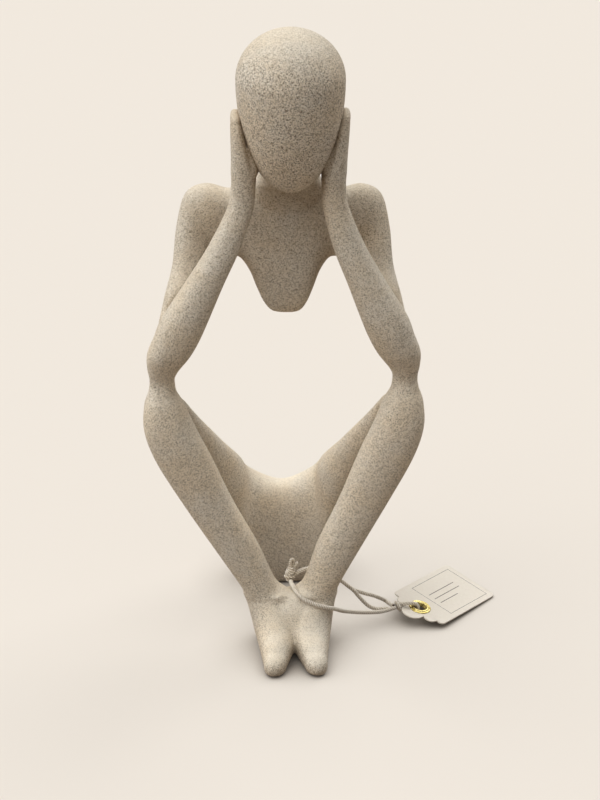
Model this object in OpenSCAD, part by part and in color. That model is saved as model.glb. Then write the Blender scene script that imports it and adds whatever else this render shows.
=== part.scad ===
// Seated abstract figure cast in sand-filled resin, head in its hands, elbows on its knees,
// with a card hang tag tied round its left shin.
// +Z is up, the figure faces -Y, +X is its left side. The origin is on the floor, under the
// middle of the figure. The castings meet at flat glue faces, with a steel pin across each.

/* [Head] */
// Widest diameter of the egg-shaped head
head_w = 41.4; // [38:0.2:44]
// Height of the head above its widest level
crown_h = 19.4; // [18:0.2:24]
// Height of the head below its widest level, down to the chin
jaw_h = 45; // [40:0.5:46]
// Height of the head's widest level above the floor
head_z = 240.4; // [238:0.2:242]
// Distance from the origin forward to the head's axis
head_fwd = 17; // [16:0.5:18]
// Forward bow of the head, in degrees
head_bow = 3; // [0:0.5:5]

/* [Torso] */
// Width over both shoulders, at the upper arms
shoulder_w = 84; // [80:1:90]
// Height of the shoulder line above the floor
shoulder_z = 189.6; // [188:0.2:193]
// Height of the armpits above the floor
armpit_z = 160.4; // [158:0.2:163]
// Height of the chest's hanging end above the floor
chest_z = 138.3; // [132:0.5:146]
// Width of the chest between the glue faces of the arms
chest_w = 45.5; // [42:0.5:46]
// Front to back thickness of the shoulders
chest_t = 17; // [15:0.5:19]
// Distance from the origin back to the middle of the shoulders
chest_back = 8; // [6:0.5:10]
// How far the hanging end of the chest comes forward of the shoulders
chest_lean = 6; // [3:0.5:8]
// Diameter of the neck
neck_d = 19; // [16:0.5:21]

/* [Arms] */
// Width of the upper arm
upper_arm_w = 16; // [14:0.5:18]
// Height of the joint between upper arm and forearm above the floor
elbow_z = 137; // [134:0.5:140]
// Width of the forearm at the elbow
elbow_w = 18; // [16:0.2:20]
// Width of the wrist
wrist_w = 10.2; // [8:0.2:12]
// How far inside the sides of the head the middles of the wrists stand
wrist_inset = 2.35; // [1:0.05:4]
// Width of the palm, seen from the side
palm_w = 15; // [12:0.5:18]
// Height of the fingertips above the floor
fingertip_z = 228.4; // [225:0.2:231]
// Distance from the origin forward to the middle of the hands
hand_fwd = 16; // [15:0.5:17]

/* [Legs] */
// Distance between the necks where the elbows stand on the knees
link_gap = 95.6; // [92:0.2:100]
// Height of the glue faces in those necks above the floor
link_z = 117.4; // [115:0.2:120]
// Diameter of those necks
link_d = 10; // [8:0.2:12]
// Distance from the origin forward to those necks
link_fwd = 20; // [19:0.5:21]
// Distance from those necks back to the glue faces of upper arms and thighs
joint_back = 6; // [5:0.5:7]
// Widest width of the shin
shin_w = 22.8; // [20:0.2:24]
// Front to back thickness of the shin at the knee
shin_t = 18; // [16:0.5:20]
// Height of the ankle above the floor
ankle_z = 27.8; // [25:0.2:30]
// Width of the foot
foot_w = 13.4; // [12:0.2:15]
// Distance between the middles of the feet
foot_gap = 16.4; // [15:0.2:18]
// How far the toes reach in front of the origin
toe_fwd = 51.4; // [49:0.2:55]
// Height of the joint between thigh and knee above the floor
knee_z = 104; // [102:0.5:106]
// Distance between the middles of the knee joints
knee_gap = 92; // [88:0.5:95]
// Width of the thigh
thigh_w = 18; // [16:0.5:20]
// Height of the lap's lowest point above the floor
lap_z = 44.2; // [43:0.2:52]
// Width of the seat casting between the glue faces of the thighs
seat_w = 26; // [24:0.5:30]
// Front to back thickness of the seat
seat_t = 25; // [24:0.5:30]
// How far the seat reaches behind the origin
seat_back = 51.4; // [49:0.2:55]

/* [Hand-modelled drift to the figure's left] */
// How far the feet stand to the side of the middle
foot_shift = 3.8; // [0:0.2:4]
// How far the seat stands to the side of the middle
seat_shift = 1.2; // [0:0.2:2]
// How far the wrists, shoulders and chest stand to the side of the middle
chest_shift = 1.9; // [0:0.1:3]
// How far the head and neck stand to the side of the middle
head_shift = 3; // [0:0.1:4]
// How much lower the left shoulder stands than the right one
shoulder_drop = 1.6; // [0:0.2:2]

/* [Fittings] */
// Diameter of the steel pins across the glue faces
pin_d = 3; // [2.4:0.1:3.6]
// Length of those pins
pin_l = 15; // [12:0.5:17]
// Diameter of the pins between hands and head
cheek_pin_d = 2; // [1.6:0.1:2.4]
// Length of the pins between hands and head
cheek_pin_l = 7; // [5:0.5:8]
// Glue room round a pin
pin_fit = 0.05; // [0.02:0.01:0.1]
// Thickness of the felt pads
pad_t = 0.8; // [0.5:0.1:1.5]
// Diameter of the felt pad under the seat
seat_pad_d = 18; // [12:0.5:20]
// Diameter of the felt pads under the feet
foot_pad_d = 8; // [6:0.5:9]

/* [Hang tag] */
// Length of the tag's straight part
tag_l = 36; // [30:1:42]
// Width of the tag
tag_w = 27; // [25:0.5:30]
// How far the tag's curved end stands out past the middle of the eyelet
tag_end = 9.5; // [9:0.1:10]
// Radius of the tag's square corners
tag_corner = 2; // [1:0.1:3]
// Thickness of the card
card_t = 0.6; // [0.4:0.1:0.8]
// Bore of the brass eyelet
eyelet_bore = 5; // [4.6:0.1:5.4]
// Diameter of the eyelet's rim
eyelet_d = 9.4; // [9:0.1:10]
// Wall of the eyelet's barrel and thickness of its washer
eyelet_wall = 0.35; // [0.3:0.05:0.4]
// Diameter of the cord
cord_d = 1.8; // [1.4:0.1:2]

/* [Hidden] */

stone = [0.74, 0.70, 0.63];
steel = "silver";
felt = [0.45, 0.42, 0.38];
card = [0.94, 0.91, 0.84];
brass = [0.80, 0.66, 0.30];
cotton = [0.80, 0.75, 0.67];

ring_sides = 18;  // points round a casting
squareness = 0.86;  // below 1, a section is fuller than an ellipse
left = 1;
right = -1;
joint_y = joint_back - link_fwd;  // plane behind the elbows and knees
wrist_gap = head_w - 2 * wrist_inset;
seat_y = seat_back - seat_t / 2;
seat_top_share = 0.64;  // of the lap's height, above the middle of the seat's section
hip_top_share = 0.59;
hip_mid_share = 0.56;
drift_power = 2;  // 1 gives a straight drift, more bends it towards the feet and shoulders
jaw_share = 1;  // 1 gives an oval jaw, more gives a narrower chin
shoulder_dip_share = 0.055;  // of the height from armpit to shoulder, beside the neck

// Chest, outwards from the middle: place outwards, height of its lower edge, as shares
chest_shares = [
    [0, 0], [0.23, 0.03], [0.37, 0.18], [0.49, 0.44], [0.61, 0.74], [0.76, 0.96], [0.885, 1],
    [1, 0.97],
];
// Upper arm, from the shoulder to the elbow: place outwards, forwards and down, then half the
// width as outwards and upwards shares, then half the thickness as backwards and upwards shares
upper_arm_shares = [
    [0.26, 0, 0.29, 0.40, 1.94, 1.06, 0],
    [0.475, 0, 0.33, 0.83, 1.71, 1.02, -0.10],
    [0.60, 0.11, 0.45, 0.96, 0.94, 0.95, -0.31],
    [0.69, 0.36, 0.645, 0.94, 0.44, 0.82, -0.48],
    [0.86, 0.68, 0.82, 0.90, 0.27, 0.68, -0.72],
    [0.99, 1, 1, 0.92, 0, 0, -1.19],
];
// Forearm, from the neck up to the wrist: place inwards, up and back, half width, half thickness
forearm_shares = [
    [0, 0.028, 0, 0.56, 0.58],
    [0.02, 0.062, -0.08, 0.70, 0.70],
    [0.095, 0.118, -0.25, 0.95, 0.92],
    [0.2, 0.181, -0.40, 1.01, 1],
    [0.315, 0.258, -0.50, 1.02, 0.97],
    [0.555, 0.384, -0.40, 0.84, 0.83],
    [0.803, 0.514, -0.10, 0.70, 0.69],
    [1, 0.65, 0.45, 0.56, 0.61],
];
// Hand: place inwards, up and back, half thickness as a share of the wrist, half palm width
hand_shares = [
    [1.036, 0.726, 0.75, 0.92, 0.83],
    [1.008, 0.834, 0.93, 0.80, 1],
    [0.96, 0.924, 1, 0.60, 0.96],
    [0.93, 0.970, 1, 0.44, 0.80],
];
// Shin, from the neck down to the ankle: place inwards, down and forwards, half width, half
// thickness
shin_shares = [
    [0, 0.031, 0.006, 0.50, 0.69],
    [0.015, 0.076, 0.02, 0.70, 0.88],
    [0.066, 0.165, 0.045, 0.90, 1],
    [0.195, 0.276, 0.064, 0.98, 0.96],
    [0.416, 0.438, 0.060, 0.88, 0.91],
    [0.672, 0.608, 0.045, 0.80, 0.87],
    [0.878, 0.763, 0, 0.655, 0.89],
];
// Foot, from the ankle to the toes: place outwards, forwards and up, half width, then half the
// thickness as backwards and upwards shares
foot_shares = [
    [1.157, -0.003, 0.813, 1.455, 0.265, -0.06],
    [1.085, -0.005, 0.638, 1.345, 0.282, -0.15],
    [0.82, 0.10, 0.284, 1.36, 0.29, -0.36],
    [0.83, 0.414, 0.205, 1.12, 0.127, -0.277],
    [0.935, 0.661, 0.162, 0.85, 0.056, -0.234],
    [1, 0.81, 0.145, 0.70, 0.008, -0.180],
];
// Thigh, from the knee to the hip: place inwards, back and down, then half the width as
// outwards and backwards shares, then half the height as outwards, backwards and upwards shares
thigh_shares = [
    [0, 0, 0, 0.94, 0, 0, 0, 0.82],
    [0.105, 0.21, 0.148, 0.92, 0.39, -0.39, 0.33, 0.68],
    [0.288, 0.458, 0.308, 0.83, 0.61, -0.50, 0.44, 0.70],
    [0.503, 0.744, 0.52, 0.58, 1.09, -0.50, 0.39, 1.35],
];
// Crown and jaw angles of the head's profile
crown_steps = 6;
jaw_steps = 12;

// Cord routes, from the knot to the hitch
front_route = [
    [3, -8, 21.6], [3.1, -11.5, 22.4], [3.3, -15.5, 23.7], [3.7, -20.2, 25.1], [4.7, -24.8, 25.6],
    [6.1, -27.7, 25.2], [8, -29.2, 24], [10.6, -29.7, 22.8], [13.4, -30.2, 21.9],
    [16.5, -29.7, 20.7], [18.8, -28.1, 19.3], [20.8, -25.7, 17.5], [22.9, -23.3, 15.4],
    [26, -19.8, 12.8], [32.3, -15.5, 9.7], [39, -11.5, 7.4], [43, -9.4, 6.9], [46.7, -7.2, 6.8],
];
rear_route = [
    [4.4, -5.7, 22.9], [7.1, -4.4, 23.8], [9.4, -4, 24.5], [12.8, -3.8, 24.7], [16.6, -3.8, 23.9],
    [20.5, -4, 21.5], [24.1, -4.3, 18.9], [29.2, -4, 14.4], [33.5, -3.8, 12.4], [38, -3.8, 10.9],
    [42.5, -1.7, 7.6], [44.5, -3.2, 6.8], [46.1, -5.4, 6.8],
];
spare_route = [
    [4.4, -7.3, 23.9], [7.1, -6.3, 24.7], [9.4, -5.9, 25.4], [12.8, -5.7, 25.6], [16.6, -5.7, 24.8],
    [20.5, -5.9, 22.4], [24.1, -6.2, 19.8], [29, -6.6, 15.6], [31.3, -6.9, 12.8], [33.5, -7.2, 10.2],
    [35.6, -7.4, 8.2], [38.4, -7.8, 7], [41.3, -8.2, 7], [44, -8, 7],
];
tail_routes = [
    [[3.2, -7.2, 26.8], [2.9, -7.3, 28.6], [2.9, -7.5, 30.1], [3.6, -7.6, 31.2]],
    [[3.9, -7, 26.8], [4.7, -7.1, 28.3], [5.4, -7.2, 29.5], [5, -7.4, 30.5]],
];
// Route of the tag's own loop through the eyelet and back, from the eyelet's middle
loop_route = [
    [-6.9, 6.6, 0.6], [-5.6, 5, 1.3], [-4.4, 3.6, 1.95], [-3, 2.4, 2.1], [-1.6, 1.4, 1.75],
    [-0.8, 0.7, 0.6], [-0.7, 0.6, -0.7], [-1.3, 1.2, -1.9], [-2.6, 2.4, -2.2], [-4, 3.7, -2],
    [-5.4, 5.1, -1.5], [-6.9, 6.6, -1],
];
loop_side = [0.7, 0.74, 0];  // square to the loop
hitch_at = [46.4, -6.3, 6.8];  // the tag swings about this point
hitch_turn = 18;  // heading of the tag from there, in degrees
knot_at = [2.9, -7.1, 24.3];
cord_sides = 8;
hitch_off_share = 1;  // of the cord's diameter, from the swing point to the hitch
hitch_r_share = 1;  // of the cord's diameter
hitch_cord_share = 0.415;
knot_shares = [
    [0, -2], [0.7, -1.95], [1.15, -1.3], [1.3, -0.5], [1.2, 0.2], [0.95, 0.9], [0.75, 1.6], [0, 1.85],
];

// Tag: place of the eyelet's middle, and the card's heading, dip and roll in degrees
tag_side = 57.3;
tag_fwd = 5;
tag_up = 5.3;
tag_yaw = 47.5;
tag_dip = 3.2;
tag_roll = 11.6;
barrel_d = eyelet_bore + 2 * eyelet_wall;
eyelet_fit = 0.1;  // room round the eyelet's barrel
lip_share = 0.35;  // of the rim's overhang, for the rolled end under the washer
lobe_share = 0.365;  // of the tag's width, for the end's middle lobe
side_lobe_share = 0.23;

// A smooth value through the rows of a table at place u, where row 0 is at 0 and row 1 at 1
function through(rows, u) =
    let (last = len(rows) - 1, i = min(floor(u), last - 1), f = u - i,
        a = rows[max(i - 1, 0)], b = rows[i], c = rows[i + 1], d = rows[min(i + 2, last)])
    b + f / 2 * (c - a + f * (2 * a - 5 * b + 4 * c - d + f * (3 * b - a - 3 * c + d)));
function unit(v) = v / norm(v);
function between(a, b, share) = a + (b - a) * share;
function rounded(s) = sign(s) * pow(abs(s), squareness);

// A section: row is its middle, half its thickness and half its width, as vectors
function section(row, turn) = [
    for (k = [0 : ring_sides - 1])
        let (q = turn * 360 * k / ring_sides)
            row[0] + row[1] * rounded(cos(q)) + row[2] * rounded(sin(q))
];
// A row of the rounded end of a form, at angle q from its last row
function end_row(rows, u, reach, q) =
    let (row = through(rows, u), before = through(rows, u - 0.1))
        [row[0] + unit(row[0] - before[0]) * reach * sin(q), row[1] * cos(q), row[2] * cos(q)];

// A closed skin over rings of points, all with the same count
module skin(rings) {
    n = len(rings[0]);
    last = len(rings) - 1;
    walls = [
        for (i = [0 : last - 1], k = [0 : n - 1])
            let (a = i * n + k, b = i * n + (k + 1) % n)
                each [[a, a + n, b], [b, a + n, b + n]]
    ];
    caps = [[for (k = [0 : n - 1]) k], [for (k = [n - 1 : -1 : 0]) last * n + k]];
    polyhedron(points = [for (r = rings) each r], faces = concat(walls, caps), convexity = 8);
}
// A form through rows from place a to place b, trimmed point by point, with an optional
// rounded end
module form(rows, a, b, steps, turn, trim, reach = 0) {
    body_rings = [
        for (k = [0 : steps]) [for (p = section(through(rows, between(a, b, k / steps)), turn)) trim(p)]
    ];
    end_rings = reach == 0 ? [] : [
        for (q = [25, 50, 68, 82]) [for (p = section(end_row(rows, b, reach, q), turn)) trim(p)]
    ];
    skin(concat(body_rings, end_rings));
}
// A round tube along a route; beside is a direction that the route never takes
module tube(route, d, beside) {
    last = len(route) - 1;
    skin([
        for (i = [0 : last])
            let (t = unit(route[min(i + 1, last)] - route[max(i - 1, 0)]), u = unit(cross(beside, t)),
                v = cross(t, u))
                [for (k = [0 : cord_sides - 1])
                    route[i] + d / 2 * (u * cos(360 * k / cord_sides) + v * sin(360 * k / cord_sides))]
    ]);
}

// Drift of arms, legs and thighs to the figure's left, and drop of the left shoulder
function arm_drift(z) = z < shoulder_z
    ? chest_shift * pow((z - link_z) / (shoulder_z - link_z), drift_power)
    : between(chest_shift, head_shift, (z - shoulder_z) / (fingertip_z - shoulder_z));
function leg_drift(z) = foot_shift * pow(1 - z / link_z, drift_power);
function thigh_drift(x) = seat_shift * (1 - x / (knee_gap / 2));
function arm_drop(x) = -shoulder_drop * x / shoulder_w;

// Rows of the arms and chest, from the middle of the chest to one elbow
function chest_rows(side) = [
    for (r = chest_shares)
        let (top = shoulder_z - shoulder_dip_share * (shoulder_z - armpit_z),
            low = between(chest_z, armpit_z, r[1]), z = (top + low) / 2,
            lean = chest_lean / 2 * (1 - r[1]), x = side * r[0] * chest_w / 2)
            [
                [x + between(chest_shift, arm_drift(z), r[0]), chest_back - lean, z + arm_drop(x)],
                [0, chest_t / 2 * between(0.82, 1, r[1]), 0],
                [0, lean, (top - low) / 2],
            ]
];
function upper_arm_rows(side) = [
    for (r = upper_arm_shares)
        let (x = side * between(chest_w, shoulder_w, r[0]) / 2, z = between(shoulder_z, elbow_z, r[2]),
            half = upper_arm_w / 2)
            [
                [x + arm_drift(z), between(chest_back, joint_y, r[1]), z + arm_drop(x)],
                [0, half * r[5], half * r[6]],
                [side * half * r[3], 0, half * r[4]],
            ]
];
function arms_rows(side) = concat(chest_rows(side), upper_arm_rows(side));
chest_last = len(chest_shares) - 1;
arms_last = chest_last + len(upper_arm_shares);

// Rows of a forearm and its hand, from the neck up
function forearm_row(side, r, width, thick) =
    let (x = between(link_gap, wrist_gap, r[0]) / 2, z = between(link_z, fingertip_z, r[1]),
        y = between(-link_fwd, -hand_fwd, r[2]))
        [[side * x + arm_drift(z), y, z], [0, thick / 2 * r[4], 0], [side * width / 2 * r[3], 0, 0]];
function link_row(side) =
    [[side * link_gap / 2, -link_fwd, link_z], [0, link_d / 2, 0], [side * link_d / 2, 0, 0]];
function forearm_rows(side) = concat(
    [link_row(side)],
    [for (r = forearm_shares) forearm_row(side, r, elbow_w, elbow_w)],
    [for (r = hand_shares) forearm_row(side, r, wrist_w, palm_w)]
);

// Rows of a shin and its foot, from the neck down
function shin_rows(side) = concat(
    [link_row(side)],
    [
        for (r = shin_shares)
            let (x = between(link_gap, foot_gap, r[0]) / 2, z = link_z * (1 - r[1]))
                [
                    [side * x + leg_drift(z), between(-link_fwd, -toe_fwd, r[2]), z],
                    [0, shin_t / 2 * r[4], 0],
                    [side * shin_w / 2 * r[3], 0, 0],
                ]
    ],
    [
        for (r = foot_shares)
            let (z = ankle_z * r[2], reach = toe_fwd - link_fwd)
                [
                    [side * foot_gap / 2 * r[0] + leg_drift(z), between(-link_fwd, -toe_fwd, r[1]), z],
                    [0, reach * r[4], ankle_z * r[5]],
                    [side * foot_w / 2 * r[3], 0, 0],
                ]
    ]
);
foot_y = between(-link_fwd, -toe_fwd, foot_shares[3][1]);  // middle of the foot pads
foot_pin_z = ankle_z * 0.36;
foot_plane = leg_drift(foot_pin_z);  // glue face between the feet
toe_reach = (toe_fwd - link_fwd) * (1 - foot_shares[len(foot_shares) - 1][1]);

// Rows of the thighs and seat, from one knee across the lap
function thigh_rows(side) = [
    for (r = thigh_shares)
        let (x = knee_gap / 2 * (1 - r[0]), half = thigh_w / 2)
            [
                [side * x + thigh_drift(x), between(joint_y, seat_y, r[1]), knee_z * (1 - r[2])],
                [side * half * r[3], half * r[4], 0],
                [side * half * r[5], half * r[6], half * r[7]],
            ]
];
function hip_row(side) = [
    [side * seat_w / 2 + thigh_drift(seat_w / 2), seat_y - seat_t / 9, lap_z * hip_mid_share],
    [0, seat_t / 2, 0],
    [0, 0, lap_z * hip_top_share],
];
seat_row = [
    [seat_shift, seat_y, lap_z * (1 - seat_top_share)], [0, seat_t / 2, 0], [0, 0, lap_z * seat_top_share],
];
function backwards(rows) = [for (i = [len(rows) - 1 : -1 : 0]) rows[i]];
legs_rows = concat(
    thigh_rows(right), [hip_row(right), seat_row, hip_row(left)], backwards(thigh_rows(left))
);
hip_right = len(thigh_shares);
legs_last = len(legs_rows) - 1;
hip_left = legs_last - hip_right;

// Trims that keep a casting behind its glue faces and above the pads
untrimmed = function (p) p;
on_pads = function (p) [p.x, p.y, max(p.z, pad_t)];
elbow_trim = function (p) [p.x, p.z < between(elbow_z, shoulder_z, 0.35) ? min(p.y, joint_y) : p.y, p.z];
upper_arm_trim = function (p) [p.x, max(p.y, joint_y), p.z];
function leg_trim(side) = function (p) [
    side * max(side * p.x, side * foot_plane),
    p.z > between(ankle_z, knee_z, 0.7) ? min(p.y, joint_y) : p.y,
    max(p.z, pad_t),
];

// A pin along an axis, or with room the bore for it
module dowel(at, axis, d, l, room = 0)
    translate(at) rotate([0, acos(unit(axis).z), atan2(axis.y, axis.x)])
        cylinder(d = d + 2 * room, h = l + 4 * room, center = true, $fn = 24);
across = [1, 0, 0];
along = [0, 1, 0];
upright = [0, 0, 1];
neck_axis = [0, -3, 4];
neck_rows = [
    [[head_shift, chest_back, shoulder_z - neck_d / 2], [0, chest_t * 0.38, 0], [-neck_d * 0.8, 0, 0]],
    [[head_shift, chest_back * 0.8, shoulder_z], [0, chest_t * 0.45, 0], [-neck_d * 0.74, 0, 0]],
    [[head_shift, chest_back * 0.3, shoulder_z + neck_d * 0.35], [0, neck_d * 0.42, neck_d * 0.2],
        [-neck_d * 0.6, 0, 0]],
    [[head_shift, -chest_back * 0.7, shoulder_z + neck_d * 0.8], [0, neck_d * 0.4, neck_d * 0.3],
        [-neck_d * 0.5, 0, 0]],
    [[head_shift, -chest_back * 1.5, shoulder_z + neck_d * 1.2], [0, neck_d * 0.4, neck_d * 0.3],
        [-neck_d * 0.5, 0, 0]],
];
neck_joint = [head_shift, -head_fwd + head_w / 4, shoulder_z + neck_d * 0.8];
cheek_z = between(head_z, head_z - jaw_h, 0.6);
cheek_r = head_w / 2 * pow(cos(asin(0.6)), jaw_share);
function cheek_joint(side) = [head_shift + side * cheek_r, -hand_fwd, cheek_z];
function shoulder_joint(side) = chest_rows(side)[chest_last][0];
function elbow_joint(side) = arms_rows(side)[arms_last][0];
function link_joint(side) = link_row(side)[0];
function knee_joint(side) = thigh_rows(side)[0][0];
function hip_joint(side) = hip_row(side)[0];
foot_joint = [foot_plane, -link_fwd, foot_pin_z];

// Castings
module egg() {
    crown = [
        for (i = [0 : crown_steps])
            let (q = 90 * (1 - i / crown_steps)) [head_w / 2 * cos(q), crown_h * sin(q)]
    ];
    jaw = [
        for (i = [1 : jaw_steps])
            let (q = 90 * i / jaw_steps) [head_w / 2 * pow(cos(q), jaw_share), -jaw_h * sin(q)]
    ];
    translate([head_shift, -head_fwd, head_z]) rotate([head_bow, 0, 0])
        rotate_extrude($fn = 48) polygon(concat([[0, crown_h]], [for (i = [1 : crown_steps]) crown[i]],
            [for (i = [0 : jaw_steps - 2]) jaw[i]], [[0, -jaw_h]]));
}
module head() {
    color(stone) difference() {
        egg();
        dowel(neck_joint, neck_axis, pin_d, pin_l, pin_fit);
        for (side = [left, right]) dowel(cheek_joint(side), across, cheek_pin_d, cheek_pin_l, pin_fit);
    }
}
module torso() {
    rows = concat(
        backwards([for (i = [1 : chest_last]) chest_rows(right)[i]]), chest_rows(left)
    );
    color(stone) difference() {
        union() {
            form(rows, 0, 2 * chest_last, 28, left, untrimmed);
            form(neck_rows, 0, 4, 8, left, untrimmed);
        }
        egg();
        dowel(neck_joint, neck_axis, pin_d, pin_l, pin_fit);
        for (side = [left, right]) dowel(shoulder_joint(side), across, pin_d, pin_l, pin_fit);
    }
}
module upper_arm(side) {
    color(stone) difference() {
        form(arms_rows(side), chest_last, arms_last, 16, side, upper_arm_trim);
        dowel(shoulder_joint(side), across, pin_d, pin_l, pin_fit);
        dowel(elbow_joint(side), along, pin_d, pin_l, pin_fit);
    }
}
module forearm(side) {
    rows = forearm_rows(side);
    last = len(rows) - 1;
    color(stone) difference() {
        form(rows, 0, last, 28, -side, elbow_trim, (fingertip_z - link_z) * (1 - hand_shares[3][1]));
        egg();
        dowel(elbow_joint(side), along, pin_d, pin_l, pin_fit);
        dowel(link_joint(side), upright, pin_d, pin_l, pin_fit);
        dowel(cheek_joint(side), across, cheek_pin_d, cheek_pin_l, pin_fit);
    }
}
module shin(side) {
    rows = shin_rows(side);
    color(stone) difference() {
        form(rows, 0, len(rows) - 1, 28, side, leg_trim(side), toe_reach);
        dowel(link_joint(side), upright, pin_d, pin_l, pin_fit);
        dowel(knee_joint(side), along, pin_d, pin_l, pin_fit);
        dowel(foot_joint, across, pin_d, pin_l, pin_fit);
    }
}
module thigh(side) {
    from = side == right ? 0 : hip_left;
    color(stone) difference() {
        form(legs_rows, from, from + hip_right, 14, left, on_pads);
        dowel(knee_joint(side), along, pin_d, pin_l, pin_fit);
        dowel(hip_joint(side), across, pin_d, pin_l, pin_fit);
    }
}
module seat() {
    color(stone) difference() {
        form(legs_rows, hip_right, hip_left, 10, left, on_pads);
        for (side = [left, right]) dowel(hip_joint(side), across, pin_d, pin_l, pin_fit);
    }
}
module left_upper_arm() upper_arm(left);
module right_upper_arm() upper_arm(right);
module left_forearm() forearm(left);
module right_forearm() forearm(right);
module left_shin() shin(left);
module right_shin() shin(right);
module left_thigh() thigh(left);
module right_thigh() thigh(right);

// Steel pins, one across each glue face
module neck_pin() color(steel) dowel(neck_joint, neck_axis, pin_d, pin_l);
module shoulder_pins()
    color(steel) for (side = [left, right]) dowel(shoulder_joint(side), across, pin_d, pin_l);
module elbow_pins()
    color(steel) for (side = [left, right]) dowel(elbow_joint(side), along, pin_d, pin_l);
module link_pins()
    color(steel) for (side = [left, right]) dowel(link_joint(side), upright, pin_d, pin_l);
module knee_pins()
    color(steel) for (side = [left, right]) dowel(knee_joint(side), along, pin_d, pin_l);
module hip_pins()
    color(steel) for (side = [left, right]) dowel(hip_joint(side), across, pin_d, pin_l);
module cheek_pins()
    color(steel) for (side = [left, right])
        dowel(cheek_joint(side), across, cheek_pin_d, cheek_pin_l);
module foot_pin() color(steel) dowel(foot_joint, across, pin_d, pin_l);

// Felt pads
module seat_pad()
    color(felt) translate([seat_shift, seat_y, 0]) cylinder(d = seat_pad_d, h = pad_t, $fn = 48);
module foot_pads()
    color(felt) for (side = [left, right])
        translate([side * foot_gap / 2 + foot_plane, foot_y, 0])
            cylinder(d = foot_pad_d, h = pad_t, $fn = 32);

// Hang tag, drawn flat with the eyelet's middle at its origin
module on_tag()
    translate([tag_side, -tag_fwd, tag_up]) rotate([0, 0, tag_yaw]) rotate([0, tag_dip, 0])
        rotate([tag_roll, 0, 0]) children();
module tag_outline() {
    lobe = tag_w / 2 * lobe_share;
    side_lobe = tag_w / 2 * side_lobe_share;
    corner = tag_corner;
    translate([0, corner - tag_w / 2]) square([tag_l, tag_w - 2 * corner]);
    translate([0, -tag_w / 2]) square([tag_l - corner, tag_w]);
    translate([lobe - tag_end, 0]) circle(lobe, $fn = 48);
    for (side = [left, right]) {
        translate([tag_l - corner, side * (tag_w / 2 - corner)]) circle(corner, $fn = 24);
        translate([corner / 4, side * (tag_w / 2 - corner)]) circle(corner, $fn = 24);
        translate([-side_lobe * 0.45, side * (tag_w / 2 - corner - side_lobe * 1.4)])
            circle(side_lobe, $fn = 32);
    }
    translate([-side_lobe, corner * 2.5 - tag_w / 2]) square([2 * side_lobe, tag_w - 5 * corner]);
}
module tag_card()
    color(card) on_tag() difference() {
        translate([0, 0, -card_t / 2]) linear_extrude(card_t) tag_outline();
        cylinder(d = barrel_d + 2 * eyelet_fit, h = 3 * card_t, center = true, $fn = 48);
    }
module eyelet() {
    bore = eyelet_bore / 2;
    barrel = barrel_d / 2;
    rim = eyelet_d / 2;
    top = card_t / 2;
    low = -card_t / 2 - eyelet_wall;
    lip = between(barrel, rim, lip_share);
    color(brass) on_tag() rotate_extrude($fn = 48) polygon([
        [bore, low - eyelet_wall], [lip, low - eyelet_wall], [lip, low], [barrel, low], [barrel, top],
        [rim, top], [rim, top + eyelet_wall], [between(bore, rim, 0.7), top + 2 * eyelet_wall],
        [between(bore, rim, 0.3), top + 2 * eyelet_wall], [bore, top + eyelet_wall],
    ]);
}
module eyelet_washer() {
    hole = barrel_d / 2 + eyelet_fit;
    color(brass) on_tag() translate([0, 0, -card_t / 2 - eyelet_wall]) rotate_extrude($fn = 48)
        polygon([[hole, 0], [eyelet_d / 2, 0], [eyelet_d / 2, eyelet_wall], [hole, eyelet_wall]]);
}

// Cord
module tag_loop() color(cotton) on_tag() tube(loop_route, cord_d, loop_side);
module hitch()
    color(cotton) translate(hitch_at) rotate([0, 0, hitch_turn])
        translate([cord_d * hitch_off_share, 0, 0]) rotate([0, 90, 0])
            rotate_extrude($fn = 32) translate([cord_d * hitch_r_share, 0])
                circle(cord_d * hitch_cord_share, $fn = 16);
module cord_front() color(cotton) tube(front_route, cord_d, [0, 0, 1]);
module cord_rear() color(cotton) tube(rear_route, cord_d, [0, 1, 0]);
module cord_spare() color(cotton) tube(spare_route, cord_d, [0, 1, 0]);
module knot()
    color(cotton) translate(knot_at) rotate_extrude($fn = 32)
        polygon([for (s = knot_shares) s * cord_d]);
module cord_tails() color(cotton) for (route = tail_routes) tube(route, cord_d * 0.7, [0, 1, 0]);

head();
torso();
left_upper_arm();
right_upper_arm();
left_forearm();
right_forearm();
left_shin();
right_shin();
left_thigh();
right_thigh();
seat();
neck_pin();
shoulder_pins();
elbow_pins();
link_pins();
knee_pins();
hip_pins();
cheek_pins();
foot_pin();
seat_pad();
foot_pads();
tag_card();
eyelet();
eyelet_washer();
tag_loop();
hitch();
cord_front();
cord_rear();
cord_spare();
knot();
cord_tails();
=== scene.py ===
import math
from functools import partial

import bpy
import numpy as np
from mathutils import Matrix, Vector


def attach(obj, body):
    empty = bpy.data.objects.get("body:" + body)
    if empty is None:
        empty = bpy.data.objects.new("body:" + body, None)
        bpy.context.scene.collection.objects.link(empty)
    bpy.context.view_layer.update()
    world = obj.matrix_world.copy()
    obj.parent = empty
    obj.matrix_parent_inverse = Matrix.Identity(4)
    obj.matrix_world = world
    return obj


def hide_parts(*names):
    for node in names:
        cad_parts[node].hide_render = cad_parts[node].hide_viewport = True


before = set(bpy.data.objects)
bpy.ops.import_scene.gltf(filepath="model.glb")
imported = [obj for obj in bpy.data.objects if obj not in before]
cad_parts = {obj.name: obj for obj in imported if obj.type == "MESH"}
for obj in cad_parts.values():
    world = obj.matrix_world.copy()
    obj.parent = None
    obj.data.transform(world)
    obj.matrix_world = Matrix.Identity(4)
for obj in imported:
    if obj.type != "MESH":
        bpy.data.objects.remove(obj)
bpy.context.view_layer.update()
mm = 0.001
print("frame loaded:", len(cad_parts), "CAD nodes")

# Camera

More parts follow.
